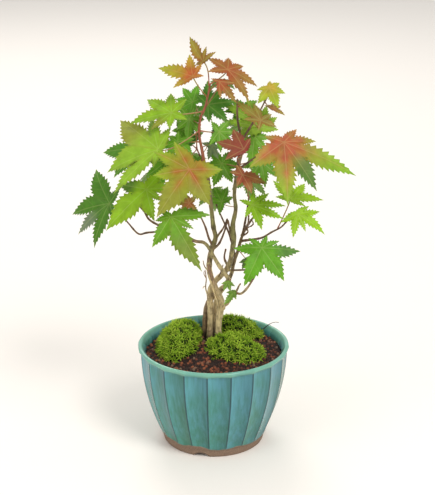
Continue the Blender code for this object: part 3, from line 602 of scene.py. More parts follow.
class StemSettings(bpy.types.PropertyGroup):
    """Bark of the stems and twigs."""

    node_pitch: length("Node pitch", "Distance between two nodes on a stem", 15.0)
    old_bark: colour("Old bark", "Pale bark near the soil", "#d4c092")
    green_bark: colour("Green bark", "Smooth bark of the upper stems", "#84804c")
    red_bark: colour("Red bark", "Skin of this year's shoots", "#6e4c3a")
    # The crease colour is painted shade between two stems, and also the colour of the bark's dark
    # blotches.
    crease_shade_and_blotch: colour("Crease", "Dark bark between two stems", "#2b1d13")
    weathered: colour("Weathered bark", "Brown patches on the bark", "#7d6448")
    # The hooked stem's foot colour is painted shade on the low part of that stem, which stands at the
    # back.
    hooked_foot_shade: colour("Hooked stem's foot", "Darker bark low on the hooked stem", "#6d5236")
    # This colour only darkens the bark towards the soil.
    bark_near_soil: colour("Soil stain", "Bark that wet soil has darkened", "#33231a")
    leader: colour("Leader", "Reddish bark at the top of the tall stem", "#94543a")


class LeafSettings(bpy.types.PropertyGroup):
    """Leaf blades and stalks."""

    tooth: length("Tooth pitch", "Distance between two teeth of a lobe's edge", 2.7)
    thickness: length("Thickness", "Thickness of a blade", 0.22)
    stalk_radius: length("Stalk radius", "Half thickness of a leaf stalk", 0.42)
    underside: colour("Underside", "What the paler underside tends to", "#a9bd80")
    stalk_red: colour("Stalk", "Sunlit side of a stalk", "#9a5238")
    stalk_green: colour("Stalk green", "Stalk next to the blade", "#8f9c44")


class StageSettings(bpy.types.PropertyGroup):
    """Floor, light and camera."""

    floor: colour("Floor", "Plain pale floor", "#ebe8e4")
    light: colour("Light", "Soft white studio light", "#fffaf4")
    distance: length("Camera distance", "From the object's axis to the camera, on plan", 919.6)
    height: length("Camera height", "Above the floor", 475.4)


class BonsaiSettings(bpy.types.PropertyGroup):
    """All settings of the bonsai."""

    pot: PointerProperty(type=PotSettings)
    soil: PointerProperty(type=SoilSettings)
    moss: PointerProperty(type=MossSettings)
    stems: PointerProperty(type=StemSettings)
    leaves: PointerProperty(type=LeafSettings)
    stage: PointerProperty(type=StageSettings)


def add(tree, kind, inputs=None, **settings):
    """Adds a node and returns its first output. Inputs are values, or sockets to link."""
    node = tree.nodes.new(kind)
    stops = settings.pop("stops", ())
    for key, value in settings.items():
        setattr(node, key, value)
    if stops:
        elements = node.color_ramp.elements
        elements.remove(elements[1])
        elements[0].position, elements[0].color = stops[0]
        for position, shade in stops[1:]:
            elements.new(position).color = shade
    for key, value in (inputs or {}).items():
        if isinstance(key, int):
            socket = node.inputs[key]
        else:
            socket = next(s for s in node.inputs if s.name == key and s.enabled)
        if isinstance(value, bpy.types.NodeSocket):
            tree.links.new(value, socket)
        else:
            socket.default_value = value
    return next((s for s in node.outputs if s.enabled), node)


def cells(size):
    """The scale of a texture whose pattern is about this many millimetres across."""
    return 1.0 / (size * MM)


def new_material(name):
    """An empty material, its tree, and its Object coordinates."""
    material = bpy.data.materials.new(name)
    material.use_nodes = True
    material.node_tree.nodes.clear()
    tree = material.node_tree
    return material, tree, add(tree, "ShaderNodeTexCoord").node.outputs["Object"]


def shaded_by(tree, shade, pattern, low, high, span=(0.3, 0.7)):
    """A colour times low to high, as a pattern rises over its span."""
    limits = {"From Min": span[0], "From Max": span[1], "To Min": low, "To Max": high}
    light = add(tree, "ShaderNodeMapRange", {"Value": pattern, **limits})
    return add(tree, "ShaderNodeVectorMath", {0: shade, "Scale": light}, operation="SCALE")


def close_with(tree, shade, roughness, relief, strength, depth, gloss=None):
    """Ends a tree in a Principled surface whose relief is this many millimetres deep."""
    bump = add(tree, "ShaderNodeBump", {"Height": relief, "Strength": strength, "Distance": depth * MM})
    inputs = {"Base Color": shade, "Roughness": roughness, "Normal": bump, **(gloss or {})}
    shader = add(tree, "ShaderNodeBsdfPrincipled", inputs)
    add(tree, "ShaderNodeOutputMaterial", {"Surface": shader})


def place_piece(name, mesh, materials=()):
    """A finished piece at the origin that rides on the root and stands for its CAD node."""
    mesh.name = name + "_mesh"
    for material in materials:
        mesh.materials.append(material)
    piece = bpy.data.objects.new("visible_" + name, mesh)
    bpy.context.scene.collection.objects.link(piece)
    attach(piece, "root")
    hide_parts(name)
    return piece


def mesh_from(bm, name, unit=MM, smooth=True):
    """A mesh from a bmesh whose numbers are this many metres each, millimetres by default."""
    bmesh.ops.scale(bm, vec=(unit, unit, unit), verts=bm.verts)
    mesh = bpy.data.meshes.new(name)
    bm.to_mesh(mesh)
    bm.free()
    if smooth:
        mesh.shade_smooth()
    return mesh


def set_colours(mesh, name, colours):
    """Stores one linear colour for each vertex."""
    attribute = mesh.attributes.new(name, "FLOAT_COLOR", "POINT")
    attribute.data.foreach_set("color", [c for shade in colours for c in (*shade[:3], 1.0)])


def geometry_tree(name, sockets):
    """A geometry tree with these named inputs, and its input sockets."""
    tree = bpy.data.node_groups.new(name, "GeometryNodeTree")
    for label, kind in (("Geometry", "Geometry"), *sockets):
        tree.interface.new_socket(name=label, in_out="INPUT", socket_type="NodeSocket" + kind)
    tree.interface.new_socket(name="Geometry", in_out="OUTPUT", socket_type="NodeSocketGeometry")
    return tree, tree.nodes.new("NodeGroupInput").outputs


def grown_mesh(mesh, tree, values):
    """The plain mesh that a geometry tree makes of a mesh, with these values for its inputs."""
    obj = bpy.data.objects.new(tree.name, mesh)
    bpy.context.scene.collection.objects.link(obj)
    modifier = obj.modifiers.new(tree.name, "NODES")
    modifier.node_group = tree
    for item in tree.interface.items_tree:
        if item.in_out == "INPUT" and item.name in values:
            modifier[item.identifier] = values[item.name]
    depsgraph = bpy.context.evaluated_depsgraph_get()
    made = bpy.data.meshes.new_from_object(
        obj.evaluated_get(depsgraph), preserve_all_data_layers=True, depsgraph=depsgraph
    )
    bpy.data.objects.remove(obj)
    return made


def mix(first, second, share):
    """A colour between two, as lists."""
    share = max(0.0, min(1.0, share))
    return [a + (b - a) * share for a, b in zip(first, second)]


def smoothstep(low, high, value):
    """Rises from 0 at low to 1 at high; low may be the greater of the two."""
    t = max(0.0, min(1.0, (value - low) / (high - low)))
    return t * t * (3.0 - 2.0 * t)


def join_rings(bm, first, second):
    """The faces between two closed rings of points."""
    count = len(first)
    return [
        bm.faces.new((first[i], first[(i + 1) % count], second[(i + 1) % count], second[i]))
        for i in range(count)
    ]


# ---------------------------------------------------------------- pot


def bowl_radius(z):
    """The outer radius of the pot's wall, on a ridge."""
    height = max(0.0, min(1.0, (z - FOOT_HEIGHT) / (LIP_BOTTOM - FOOT_HEIGHT)))
    return GLAZE_EDGE_RADIUS + BELLY * (1.0 - (1.0 - height) ** BELLY_POWER)


def inner_radius(z):
    """The inner radius of the pot's wall, which rounds in to the floor."""
    narrowing, reach = FLOOR_ROUND
    return bowl_radius(z) - WALL - narrowing * max(0.0, 1.0 - (z - FLOOR_TOP) / reach) ** 2


def pot_section():
    """The pot's closed section from the foot up the outside, over the lip and down inside.

    Each point is a radius, a height, how strongly the flutes cut in, and how much it belongs
    to the lip.
    """
    section = [(FOOT_RADIUS - 0.5, 0.0, 0, 0), (FOOT_RADIUS, 0.5, 0, 0)]
    section += [(FOOT_RADIUS + 0.3 * i, 0.5 + 1.2 * i, 0, 0) for i in (1, 2, 3)]
    section += [(FOOT_RADIUS + 1.1, FOOT_HEIGHT - 0.9, 0, 0)]
    section += [(GLAZE_EDGE_RADIUS - 0.5, FOOT_HEIGHT - 0.3, 0.1, 0)]
    for i in range(WALL_STEPS + 1):
        z = FOOT_HEIGHT + 0.3 + (LIP_BOTTOM - FOOT_HEIGHT - 1.1) * i / WALL_STEPS
        section.append((bowl_radius(z), z, smoothstep(FOOT_HEIGHT, FOOT_HEIGHT + 5.0, z), 0))
    section += LIP
    section += [(inner_radius(z), z, 0, 0) for z in INSIDE_HEIGHTS]
    section += [(inner_radius(FLOOR_TOP), FLOOR_TOP, 0, 0), (20.0, FLOOR_TOP, 0, 0)]
    section += [(DRAIN_RADIUS + 0.6, FLOOR_TOP, 0, 0), (DRAIN_RADIUS, FLOOR_TOP - 0.6, 0, 0)]
    section += [(DRAIN_RADIUS, FLOOR_UNDER + 0.5, 0, 0), (DRAIN_RADIUS + 0.5, FLOOR_UNDER, 0, 0)]
    foot_inside = FOOT_RADIUS - FOOT_WIDTH
    section += [(20.0, FLOOR_UNDER, 0, 0), (foot_inside - 1.6, FLOOR_UNDER, 0, 0)]
    section += [(foot_inside - 0.4, FLOOR_UNDER - 1, 0, 0)]
    section += [(foot_inside, 0.6, 0, 0), (foot_inside + 0.5, 0, 0, 0)]
    return section


def flute_wedge(settings):
    """One flute's share of the pot, from ridge to ridge, as an open mesh."""
    bm = bmesh.new()
    lip = bm.verts.layers.float.new("lip")
    fluted = bm.verts.layers.float.new("fluted")
    section = pot_section()
    depth = settings.flute_depth / MM
    columns = []
    for spot in FLUTE_COLUMNS:
        angle = math.radians(RIDGE_PHASE) + math.tau * spot / settings.flutes
        scoop = depth * (4.0 * spot * (1.0 - spot)) ** 0.85
        column = []
        for radius, z, cut, on_lip in section:
            r = radius - cut * scoop
            vert = bm.verts.new((r * math.cos(angle), r * math.sin(angle), z))
            vert[lip], vert[fluted] = on_lip, min(1.0, 2.0 * cut)
            column.append(vert)
        columns.append(column)
    for left, right in zip(columns, columns[1:]):
        join_rings(bm, right, left)
    return mesh_from(bm, "flute")


def flute_tree():
    """Repeats one flute around the pot and welds the copies into one wall."""
    sockets = (("Flutes", "Int"), ("Weld", "Float"), ("Glaze", "Material"))
    tree, given = geometry_tree("fluted_wall", sockets)
    points = add(tree, "GeometryNodeMeshLine", {"Count": given["Flutes"], "Offset": (0.0, 0.0, 0.0)})
    index = add(tree, "GeometryNodeInputIndex")
    share = add(tree, "ShaderNodeMath", {0: math.tau, 1: given["Flutes"]}, operation="DIVIDE")
    turn = add(tree, "ShaderNodeMath", {0: index, 1: share}, operation="MULTIPLY")
    rotation = add(tree, "ShaderNodeCombineXYZ", {"Z": turn})
    copies = add(
        tree, "GeometryNodeInstanceOnPoints",
        {"Points": points, "Instance": given["Geometry"], "Rotation": rotation},
    )
    wall = add(tree, "GeometryNodeRealizeInstances", {"Geometry": copies})
    welded = add(tree, "GeometryNodeMergeByDistance", {"Geometry": wall, "Distance": given["Weld"]})
    smooth = add(tree, "GeometryNodeSetShadeSmooth", {"Geometry": welded})
    painted = add(tree, "GeometryNodeSetMaterial", {"Geometry": smooth, "Material": given["Glaze"]})
    add(tree, "NodeGroupOutput", {"Geometry": painted})
    return tree


def flute_share(tree, place, flutes):
    """Where a point lies across its flute, from 0 to 1, and a random number for that flute."""
    xyz = add(tree, "ShaderNodeSeparateXYZ", {0: place}).node.outputs
    angle = add(tree, "ShaderNodeMath", {0: xyz["Y"], 1: xyz["X"]}, operation="ARCTAN2")
    per_turn = flutes / math.tau
    offset = -math.radians(RIDGE_PHASE) * per_turn + flutes
    flute = add(tree, "ShaderNodeMath", {0: angle, 1: per_turn, 2: offset}, operation="MULTIPLY_ADD")
    spot = add(tree, "ShaderNodeMath", {0: flute}, operation="FRACT")
    whole = add(tree, "ShaderNodeMath", {0: flute}, operation="FLOOR")
    own = add(tree, "ShaderNodeTexWhiteNoise", {"W": whole}, noise_dimensions="1D").node
    return spot, own.outputs["Value"], xyz["Z"]


def ridge_line(tree, spot, streaks):
    """The dark line where the glaze breaks over a ridge, about 0.8 mm wide on a 17 mm flute."""
    from_ridge = add(tree, "ShaderNodeMath", {0: spot, 1: 0.5}, operation="PINGPONG")
    wobble = add(tree, "ShaderNodeMapRange", {"Value": streaks, "To Min": 0.065, "To Max": 0.04})
    limits = {"From Min": 0.008, "From Max": wobble, "To Min": 1.0, "To Max": 0.0}
    line = add(
        tree, "ShaderNodeMapRange", {"Value": from_ridge, **limits}, interpolation_type="SMOOTHSTEP"
    )
    fluted = add(tree, "ShaderNodeAttribute", attribute_name="fluted").node.outputs["Fac"]
    line = add(tree, "ShaderNodeMath", {0: line, 1: fluted}, operation="MULTIPLY")
    return add(tree, "ShaderNodeMath", {0: line, 1: 0.85}, operation="MULTIPLY")


def glaze_material(settings):
    """Copper celadon glaze, poured and fired on fluted stoneware.

    It is glossy, pools blue in the flutes, runs green in vertical streaks, breaks to a dark line on each
    ridge, turns mint on the lip, and stops short of the bare, matt clay foot. Painted shade runs across
    each flute, light by one ridge and darker towards the next.
    """
    material, tree, place = new_material("celadon_glaze_on_stoneware")
    spot, own, z = flute_share(tree, place, settings.flutes)
    # Streaks run down the wall, about 2 mm wide and ten times as long.
    long_way = add(tree, "ShaderNodeMapping", {"Vector": place, "Scale": (1.0, 1.0, 0.09)})
    streak_inputs = {"Vector": long_way, "Scale": cells(2.38), "Detail": 4.0, "Roughness": 0.6}
    streaks = add(tree, "ShaderNodeTexNoise", streak_inputs)
    clouds = add(tree, "ShaderNodeTexNoise", {"Vector": place, "Scale": cells(22.2), "Detail": 3.0})
    speckle = add(tree, "ShaderNodeTexNoise", {"Vector": place, "Scale": cells(0.667), "Detail": 2.0})
    # Each flute leans to blue or green, and every flute is bluer towards the lip.
    rise = {"Value": z, "From Min": 0.02, "From Max": 0.066, "To Max": 0.3}
    cool = add(tree, "ShaderNodeMapRange", rise)
    for pattern, share in ((own, 0.45), (clouds, 1.1), (streaks, 0.9)):
        cool = add(tree, "ShaderNodeMath", {0: pattern, 1: share, 2: cool}, operation="MULTIPLY_ADD")
    cool = add(tree, "ShaderNodeMapRange", {"Value": cool, "From Min": 1.05, "From Max": 1.75})
    hues = {"Factor": cool, "A": settings.glaze_green, "B": settings.glaze_blue}
    body = add(tree, "ShaderNodeMix", hues, data_type="RGBA")
    body = shaded_by(tree, body, streaks, 0.88, 1.12)
    # Painted shade across each flute: light by one ridge and darker towards the next, as on a concave
    # facet lit from one side.
    body = shaded_by(tree, body, spot, 1.25, 0.72, (0.0, 1.0))
    broken = {"Factor": ridge_line(tree, spot, streaks), "A": body, "B": settings.glaze_ridge}
    body = add(tree, "ShaderNodeMix", broken, data_type="RGBA")
    lip = add(tree, "ShaderNodeAttribute", attribute_name="lip").node.outputs["Fac"]
    patchy = {"Value": clouds, "From Min": 0.3, "From Max": 0.7, "To Min": 0.6}
    pale = add(tree, "ShaderNodeMapRange", patchy)
    pale = add(tree, "ShaderNodeMath", {0: pale, 1: lip}, operation="MULTIPLY")
    minted = {"Factor": pale, "A": body, "B": settings.glaze_lip}
    body = add(tree, "ShaderNodeMix", minted, data_type="RGBA")
    clay = shaded_by(tree, settings.clay[:3], speckle, 0.7, 1.2)
    # The glaze stops 6 to 9 mm over the table, in a wavy line.
    edge = add(tree, "ShaderNodeMath", {0: clouds, 1: 0.009, 2: z}, operation="MULTIPLY_ADD")
    below = {"From Min": 0.0118, "From Max": 0.0124, "To Min": 1.0, "To Max": 0.0}
    bare = add(tree, "ShaderNodeMapRange", {"Value": edge, **below})
    surface = add(tree, "ShaderNodeMix", {"Factor": bare, "A": body, "B": clay}, data_type="RGBA")
    roughness = add(tree, "ShaderNodeMapRange", {"Value": bare, "To Min": 0.2, "To Max": 0.85})
    relief = add(tree, "ShaderNodeMath", {0: streaks, 1: 0.25, 2: speckle}, operation="MULTIPLY_ADD")
    gloss = {"IOR": 1.5, "Specular IOR Level": 0.3}
    close_with(tree, surface, roughness, relief, 0.25, 0.2, gloss)
    return material


def make_pot(settings):
    """The thrown, fluted and glazed bowl in one piece."""
    glaze = glaze_material(settings)
    values = {"Flutes": settings.flutes, "Weld": 0.02 * MM, "Glaze": glaze}
    mesh = grown_mesh(flute_wedge(settings), flute_tree(), values)
    for vert in mesh.vertices:
        x, y, z = vert.co / MM
        turn = math.degrees(math.atan2(y, x))
        for notch in NOTCH_TURNS:
            away = abs((turn - notch + 180.0) % 360.0 - 180.0) / NOTCH_HALF
            if away < 1.0:
                z = max(z, NOTCH_HEIGHT * (1.0 - away**2.5) + 0.25 * z)
        thrown = 1.0 + THROWN * noise.noise(Vector((x, y, z)) * 0.03)
        vert.co = Vector((x * thrown, y * thrown, z)) * MM
    place_piece("pot", mesh)


# ---------------------------------------------------------------- drain net


def net_material():
    """Moulded polyethylene: a dull black plastic with a faint grain."""
    material, tree, place = new_material("moulded_polyethylene")
    grain = add(tree, "ShaderNodeTexNoise", {"Vector": place, "Scale": cells(0.556)})
    stops = ((0.3, linear("#101010")), (0.7, linear("#262626")))
    shade = add(tree, "ShaderNodeValToRGB", {"Fac": grain}, stops=stops)
    close_with(tree, shade, 0.5, grain, 0.2, 0.1)
    return material


def paint_net():
    """The drain net keeps its CAD shape and gets its material."""
    plastic = net_material()
    for slot in frame["nodes"]["drain_net"].material_slots:
        slot.material = plastic


# ---------------------------------------------------------------- soil and moss


def soil_height(x, y):
    """The top of the soil: a dome around the stems that falls to the edge level."""
    spread = min(1.0, math.hypot(x - SOIL_CENTRE[0], y - SOIL_CENTRE[1]) / SOIL_SPREAD)
    return SOIL_EDGE_Z + SOIL_RISE * (1.0 - spread * spread) ** 2


def strewn_tree(name):
    """Strews copies of a small shape over a surface and keeps the surface."""
    sockets = (
        ("Shape", "Object"), ("Pitch", "Float"), ("Smallest", "Float"), ("Largest", "Float"),
        ("Tilt", "Float"), ("Seed", "Int"), ("Bed", "Material"), ("Cover", "Material"),
    )
    tree, given = geometry_tree(name, sockets)
    area = add(tree, "ShaderNodeMath", {0: given["Pitch"], 1: -2.0}, operation="POWER")
    strewn = add(
        tree,
        "GeometryNodeDistributePointsOnFaces",
        {
            "Mesh": given["Geometry"],
            "Distance Min": given["Pitch"],
            "Density Max": area,
            "Density Factor": add(tree, "GeometryNodeInputNamedAttribute", {"Name": "bed"}),
            "Seed": given["Seed"],
        },
        distribute_method="POISSON",
    ).node.outputs
    tilt_back = add(tree, "ShaderNodeMath", {0: given["Tilt"], 1: -1.0}, operation="MULTIPLY")
    low = add(tree, "ShaderNodeCombineXYZ", {"X": tilt_back, "Y": tilt_back, "Z": -math.pi})
    high = add(tree, "ShaderNodeCombineXYZ", {"X": given["Tilt"], "Y": given["Tilt"], "Z": math.pi})
    turn = add(
        tree, "FunctionNodeRandomValue",
        {"Min": low, "Max": high, "Seed": given["Seed"]}, data_type="FLOAT_VECTOR",
    )
    rotation = add(
        tree, "FunctionNodeRotateRotation",
        {"Rotation": strewn["Rotation"], "Rotate By": turn}, rotation_space="LOCAL",
    )
    scale = add(
        tree, "FunctionNodeRandomValue",
        {"Min": given["Smallest"], "Max": given["Largest"], "Seed": given["Seed"]}, data_type="FLOAT",
    )
    shape = add(tree, "GeometryNodeObjectInfo", {"Object": given["Shape"]}).node.outputs["Geometry"]
    copies = add(
        tree, "GeometryNodeInstanceOnPoints",
        {"Points": strewn["Points"], "Instance": shape, "Rotation": rotation, "Scale": scale},
    )
    own = add(tree, "FunctionNodeRandomValue", {"Seed": given["Seed"]}, data_type="FLOAT")
    marked = add(
        tree, "GeometryNodeStoreNamedAttribute",
        {"Geometry": copies, "Name": "own", "Value": own}, data_type="FLOAT", domain="INSTANCE",
    )
    cover = add(tree, "GeometryNodeRealizeInstances", {"Geometry": marked})
    cover = add(tree, "GeometryNodeSetMaterial", {"Geometry": cover, "Material": given["Cover"]})
    bed = add(tree, "GeometryNodeSetMaterial", {"Geometry": given["Geometry"], "Material": given["Bed"]})
    joined = add(tree, "GeometryNodeJoinGeometry", {"Geometry": bed})
    tree.links.new(cover, joined.node.inputs["Geometry"])
    add(tree, "NodeGroupOutput", {"Geometry": joined})
    return tree


def hidden_shape(name, mesh):
    """A helper object that only lends its mesh to a geometry tree."""
    shape = bpy.data.objects.new(name, mesh)
    bpy.context.scene.collection.objects.link(shape)
    return shape


def grain_shape():
    """A rounded, lumpy grain one unit across its half width."""
    bm = bmesh.new()
    bmesh.ops.create_cube(bm, size=2.0)
    bmesh.ops.subdivide_edges(bm, edges=bm.edges[:], cuts=1, use_grid_fill=True)
    for vert in bm.verts:
        round_out = vert.co.normalized() * 1.05
        vert.co = vert.co.lerp(round_out, 0.75) * (1.0 + 0.3 * noise.noise(vert.co * 1.3))
        vert.co.z *= 0.8
    bmesh.ops.recalc_face_normals(bm, faces=bm.faces)
    return hidden_shape("grain", mesh_from(bm, "grain", 1.0))


def soil_surface():
    """The soil's skin: the dome on top, and the side and floor that lie against the pot."""
    bm = bmesh.new()
    bed = bm.verts.layers.float.new("bed")
    # Each ring: its radius, its height where it isn't on the dome, and how densely it is strewn.
    rings = [(20.0, FLOOR_TOP + 1.6, 0.0), (inner_radius(FLOOR_TOP) - 0.5, FLOOR_TOP + 0.6, 0.0)]
    for z in (12, 16, 24, 34, 46, 58):
        rings.append((inner_radius(z) - SOIL_CLEARANCE, z + SOIL_CLEARANCE, 0.0))
    rings.append((inner_radius(SOIL_EDGE_Z) - SOIL_CLEARANCE, None, 0.9))
    rings += [(radius, None, 1.0) for radius in range(48, 2, -2)]
    made = []
    for radius, level, strewn in rings:
        verts = []
        for side in range(SOIL_SIDES):
            angle = math.tau * side / SOIL_SIDES
            x, y = radius * math.cos(angle), radius * math.sin(angle)
            z = level
            if z is None:
                bumps = noise.noise(Vector((x, y, 3.0)) * 0.35)
                z = soil_height(x, y) + 0.9 * bumps - 0.6
            vert = bm.verts.new((x, y, z))
            vert[bed] = strewn
            verts.append(vert)
        if made:
            join_rings(bm, made[-1], verts)
        made.append(verts)
    bm.faces.new(list(reversed(made[0])))
    bm.faces.new(made[-1])
    blade = smooth_route(DRY_BLADE, 1.2)
    sweep(bm, blade, lambda i, point, angle: 0.42 - 0.25 * i / len(blade), 6)
    return mesh_from(bm, "soil_skin")


def earth_material(settings):
    """Moist compost between the grains: matt, dark and crumbly."""
    material, tree, place = new_material("moist_compost")
    crumbs = add(tree, "ShaderNodeTexVoronoi", {"Vector": place, "Scale": cells(1.11)})
    stops = ((0.1, settings.dark_grain), (0.6, settings.earth), (0.9, linear("#140c08")))
    shade = add(tree, "ShaderNodeValToRGB", {"Fac": crumbs}, stops=stops)
    close_with(tree, shade, 0.95, crumbs, 0.8, 0.6)
    return material


def grain_material(settings):
    """Baked clay grains and bark crumbs: porous and matt, each of one colour of its own."""
    material, tree, place = new_material("baked_clay_grain")
    own = add(tree, "ShaderNodeAttribute", attribute_name="own").node.outputs["Fac"]
    stops = (
        (0.0, linear("#150d09")), (0.45, settings.dark_grain), (0.66, linear("#46291d")),
        (0.82, settings.red_grain), (0.95, linear("#8a4e30")), (1.0, linear("#6c5848")),
    )
    shade = add(tree, "ShaderNodeValToRGB", {"Fac": own}, stops=stops)
    pores = add(tree, "ShaderNodeTexNoise", {"Vector": place, "Scale": cells(0.625), "Detail": 3.0})
    close_with(tree, shaded_by(tree, shade, pores, 0.6, 1.3), 0.85, pores, 0.6, 0.4)
    return material


def make_soil(settings):
    """Compost with a layer of baked clay grains, and a dry grass blade that lies on it."""
    shape = grain_shape()
    values = {
        "Shape": shape, "Pitch": settings.pitch, "Smallest": settings.smallest,
        "Largest": settings.largest, "Tilt": GRAIN_TILT, "Seed": settings.seed,
        "Bed": earth_material(settings), "Cover": grain_material(settings),
    }
    mesh = grown_mesh(soil_surface(), strewn_tree("strewn_grains"), values)
    bpy.data.objects.remove(shape)
    place_piece("soil", mesh)


def shoot_shape(settings):
    """One star-shaped moss shoot: a ring of leaflets that arch outwards around upright ones."""
    bm = bmesh.new()
    tip_layer = bm.verts.layers.float.new("tip")
    for whorl, (count, lean, reach) in enumerate(WHORLS):
        for i in range(count):
            angle = math.tau * (i + 0.5 * whorl) / count
            outward = Vector((math.cos(angle), math.sin(angle), 0.0))
            side = Vector((-math.sin(angle), math.cos(angle), 0.0))
            rings = []
            for along, half in LEAFLET:
                bend = lean * along
                centre = outward * (reach * along * math.sin(bend))
                centre.z = reach * along * math.cos(bend * 0.6)
                low = bm.verts.new(centre - side * half)
                high = bm.verts.new(centre + side * half)
                keel = bm.verts.new(centre - outward * half + Vector((0, 0, -half)))
                for vert in (low, high, keel):
                    vert[tip_layer] = along
                rings.append((low, high, keel))
            end = outward * (reach * math.sin(lean)) + Vector((0, 0, reach * math.cos(lean * 0.75)))
            point = bm.verts.new(end)
            point[tip_layer] = 1.0
            join_rings(bm, rings[0], rings[1])
            for j in range(3):
                bm.faces.new((rings[1][j], rings[1][(j + 1) % 3], point))
            bm.faces.new(reversed(rings[0]))
    bmesh.ops.recalc_face_normals(bm, faces=bm.faces)
    return hidden_shape("moss_shoot", mesh_from(bm, "moss_shoot", settings.shoot, smooth=False))


def cushion_surface(name, centre, half, height):
    """The closed, lumpy dome that the shoots of a cushion stand on."""
    bm = bmesh.new()
    bed = bm.verts.layers.float.new("bed")
    sides, bands = 60, 18
    shift = Vector((centre[0], centre[1], height))
    lump_height, lump_pitch = CUSHION_LUMP
    upper_rings, lower_ring = [], []
    for band in range(bands):
        out = (1.0 - band / bands) ** 0.8
        ring = []
        for side in range(sides):
            angle = math.tau * side / sides
            heading = Vector((math.cos(angle), math.sin(angle), 0.0))
            reach = 0.95 + 0.10 * noise.noise(heading * 1.7 + shift)
            x = centre[0] + half[0] * out * reach * heading.x
            y = centre[1] + half[1] * out * reach * heading.y
            ground = soil_height(x, y)
            lump = lump_height * noise.noise(Vector((x, y, 0.0)) / lump_pitch)
            z = ground + 1.2 + (height - CUSHION_SUNK) * (1.0 - out**3) + lump * (1.0 - out**4)
            vert = bm.verts.new((x, y, z))
            vert[bed] = 1.0
            ring.append(vert)
            if band == 0:
                lower_ring.append(bm.verts.new((x, y, ground - 1.0)))
        if upper_rings:
            join_rings(bm, upper_rings[-1], ring)
        upper_rings.append(ring)
    join_rings(bm, lower_ring, upper_rings[0])
    bm.faces.new(upper_rings[-1])
    bm.faces.new(list(reversed(lower_ring)))
    return mesh_from(bm, name + "_dome")


def moss_material(settings, name, bed):
    """Haircap moss: satin leaflets, deep green inside and yellow-green at the young tips.

    A thin leaflet lets some light through. The bed under the shoots is dark peat and stems.
    """
    material, tree, place = new_material(name)
    tip = add(tree, "ShaderNodeAttribute", attribute_name="tip").node.outputs["Fac"]
    own = add(tree, "ShaderNodeAttribute", attribute_name="own").node.outputs["Fac"]
    patches = add(tree, "ShaderNodeTexNoise", {"Vector": place, "Scale": cells(6.25), "Detail": 2.0})
    height = add(tree, "ShaderNodeMath", {0: patches, 1: 0.7, 2: tip}, operation="MULTIPLY_ADD")
    height = add(tree, "ShaderNodeMath", {0: own, 1: 0.35, 2: height}, operation="MULTIPLY_ADD")
    height = add(tree, "ShaderNodeMapRange", {"Value": height, "From Min": 0.22, "From Max": 1.55})
    stops = (
        (0.0, settings.deep), (0.4, settings.middle), (0.7, linear("#9cc236")), (1.0, settings.tip),
    )
    if bed:
        stops = ((0.0, linear("#1c2a0c")), (0.6, settings.deep), (1.0, linear("#3f6418")))
    shade = add(tree, "ShaderNodeValToRGB", {"Fac": height}, stops=stops)
    bump = add(tree, "ShaderNodeBump", {"Height": patches, "Strength": 0.2, "Distance": 0.4 * MM})
    satin = {"Base Color": shade, "Roughness": 0.7, "Specular IOR Level": 0.08, "Normal": bump}
    shader = add(tree, "ShaderNodeBsdfPrincipled", satin)
    if not bed:
        through = add(tree, "ShaderNodeBsdfTranslucent", {"Color": shade})
        shader = add(tree, "ShaderNodeMixShader", {0: 0.3, 1: shader, 2: through})
    add(tree, "ShaderNodeOutputMaterial", {"Surface": shader})
    return material


def make_moss(settings):
    """Three cushions of moss, each a dome covered with shoots."""
    shape = shoot_shape(settings)
    tree = strewn_tree("strewn_shoots")
    shoots = moss_material(settings, "haircap_moss_shoot", bed=False)
    bed = moss_material(settings, "haircap_moss_bed", bed=True)
    smallest, largest = SHOOT_SCALES
    for number, (name, (centre, half, height)) in enumerate(MOSS.items()):
        values = {
            "Shape": shape, "Pitch": settings.pitch, "Smallest": smallest, "Largest": largest,
            "Tilt": SHOOT_TILT, "Seed": settings.seed + number, "Bed": bed, "Cover": shoots,
        }
        place_piece(name, grown_mesh(cushion_surface(name, centre, half, height), tree, values))
    bpy.data.objects.remove(shape)


# ---------------------------------------------------------------- stems


def smooth_route(points, spacing):
    """Points about a spacing apart on a smooth curve through the given ones."""
    points = [Vector(p) for p in points]
    route = []
    for i in range(len(points) - 1):
        before = points[max(i - 1, 0)]
        start, end = points[i], points[i + 1]
        after = points[min(i + 2, len(points) - 1)]
        pieces = max(1, round((end - start).length / spacing))
        for piece in range(pieces):
            t = piece / pieces
            route.append(
                0.5
                * (
                    2 * start
                    + (end - before) * t
                    + (2 * before - 5 * start + 4 * end - after) * t * t
                    + (3 * start - before - 3 * end + after) * t**3
                )
            )
    route.append(points[-1])
    return route


def sweep(bm, route, radius_at, sides):
    """A closed tube along a route with a pointed end.

    radius_at takes the step, its point and the angle around the tube.
    """
    count = len(route)
    heading = (route[1] - route[0]).normalized()
    across = heading.orthogonal().normalized()
    other = heading.cross(across)
    angles = [math.tau * side / sides for side in range(sides)]
    spokes = [across * math.cos(a) + other * math.sin(a) for a in angles]
    last = None
    for i in range(count):
        new_heading = (route[min(i + 1, count - 1)] - route[max(i - 1, 0)]).normalized()
        turn = heading.rotation_difference(new_heading)
        spokes = [turn @ spoke for spoke in spokes]
        heading = new_heading
        ring = [
            bm.verts.new(route[i] + spoke * radius_at(i, route[i], angle))
            for spoke, angle in zip(spokes, angles)
        ]
        if last:
            join_rings(bm, last, ring)
        else:
            bm.faces.new(list(reversed(ring)))
        last = ring
    end = bm.verts.new(route[-1] + heading * radius_at(count - 1, route[-1], 0.0) * 0.8)
    for i in range(sides):
        bm.faces.new((last[i], last[(i + 1) % sides], end))


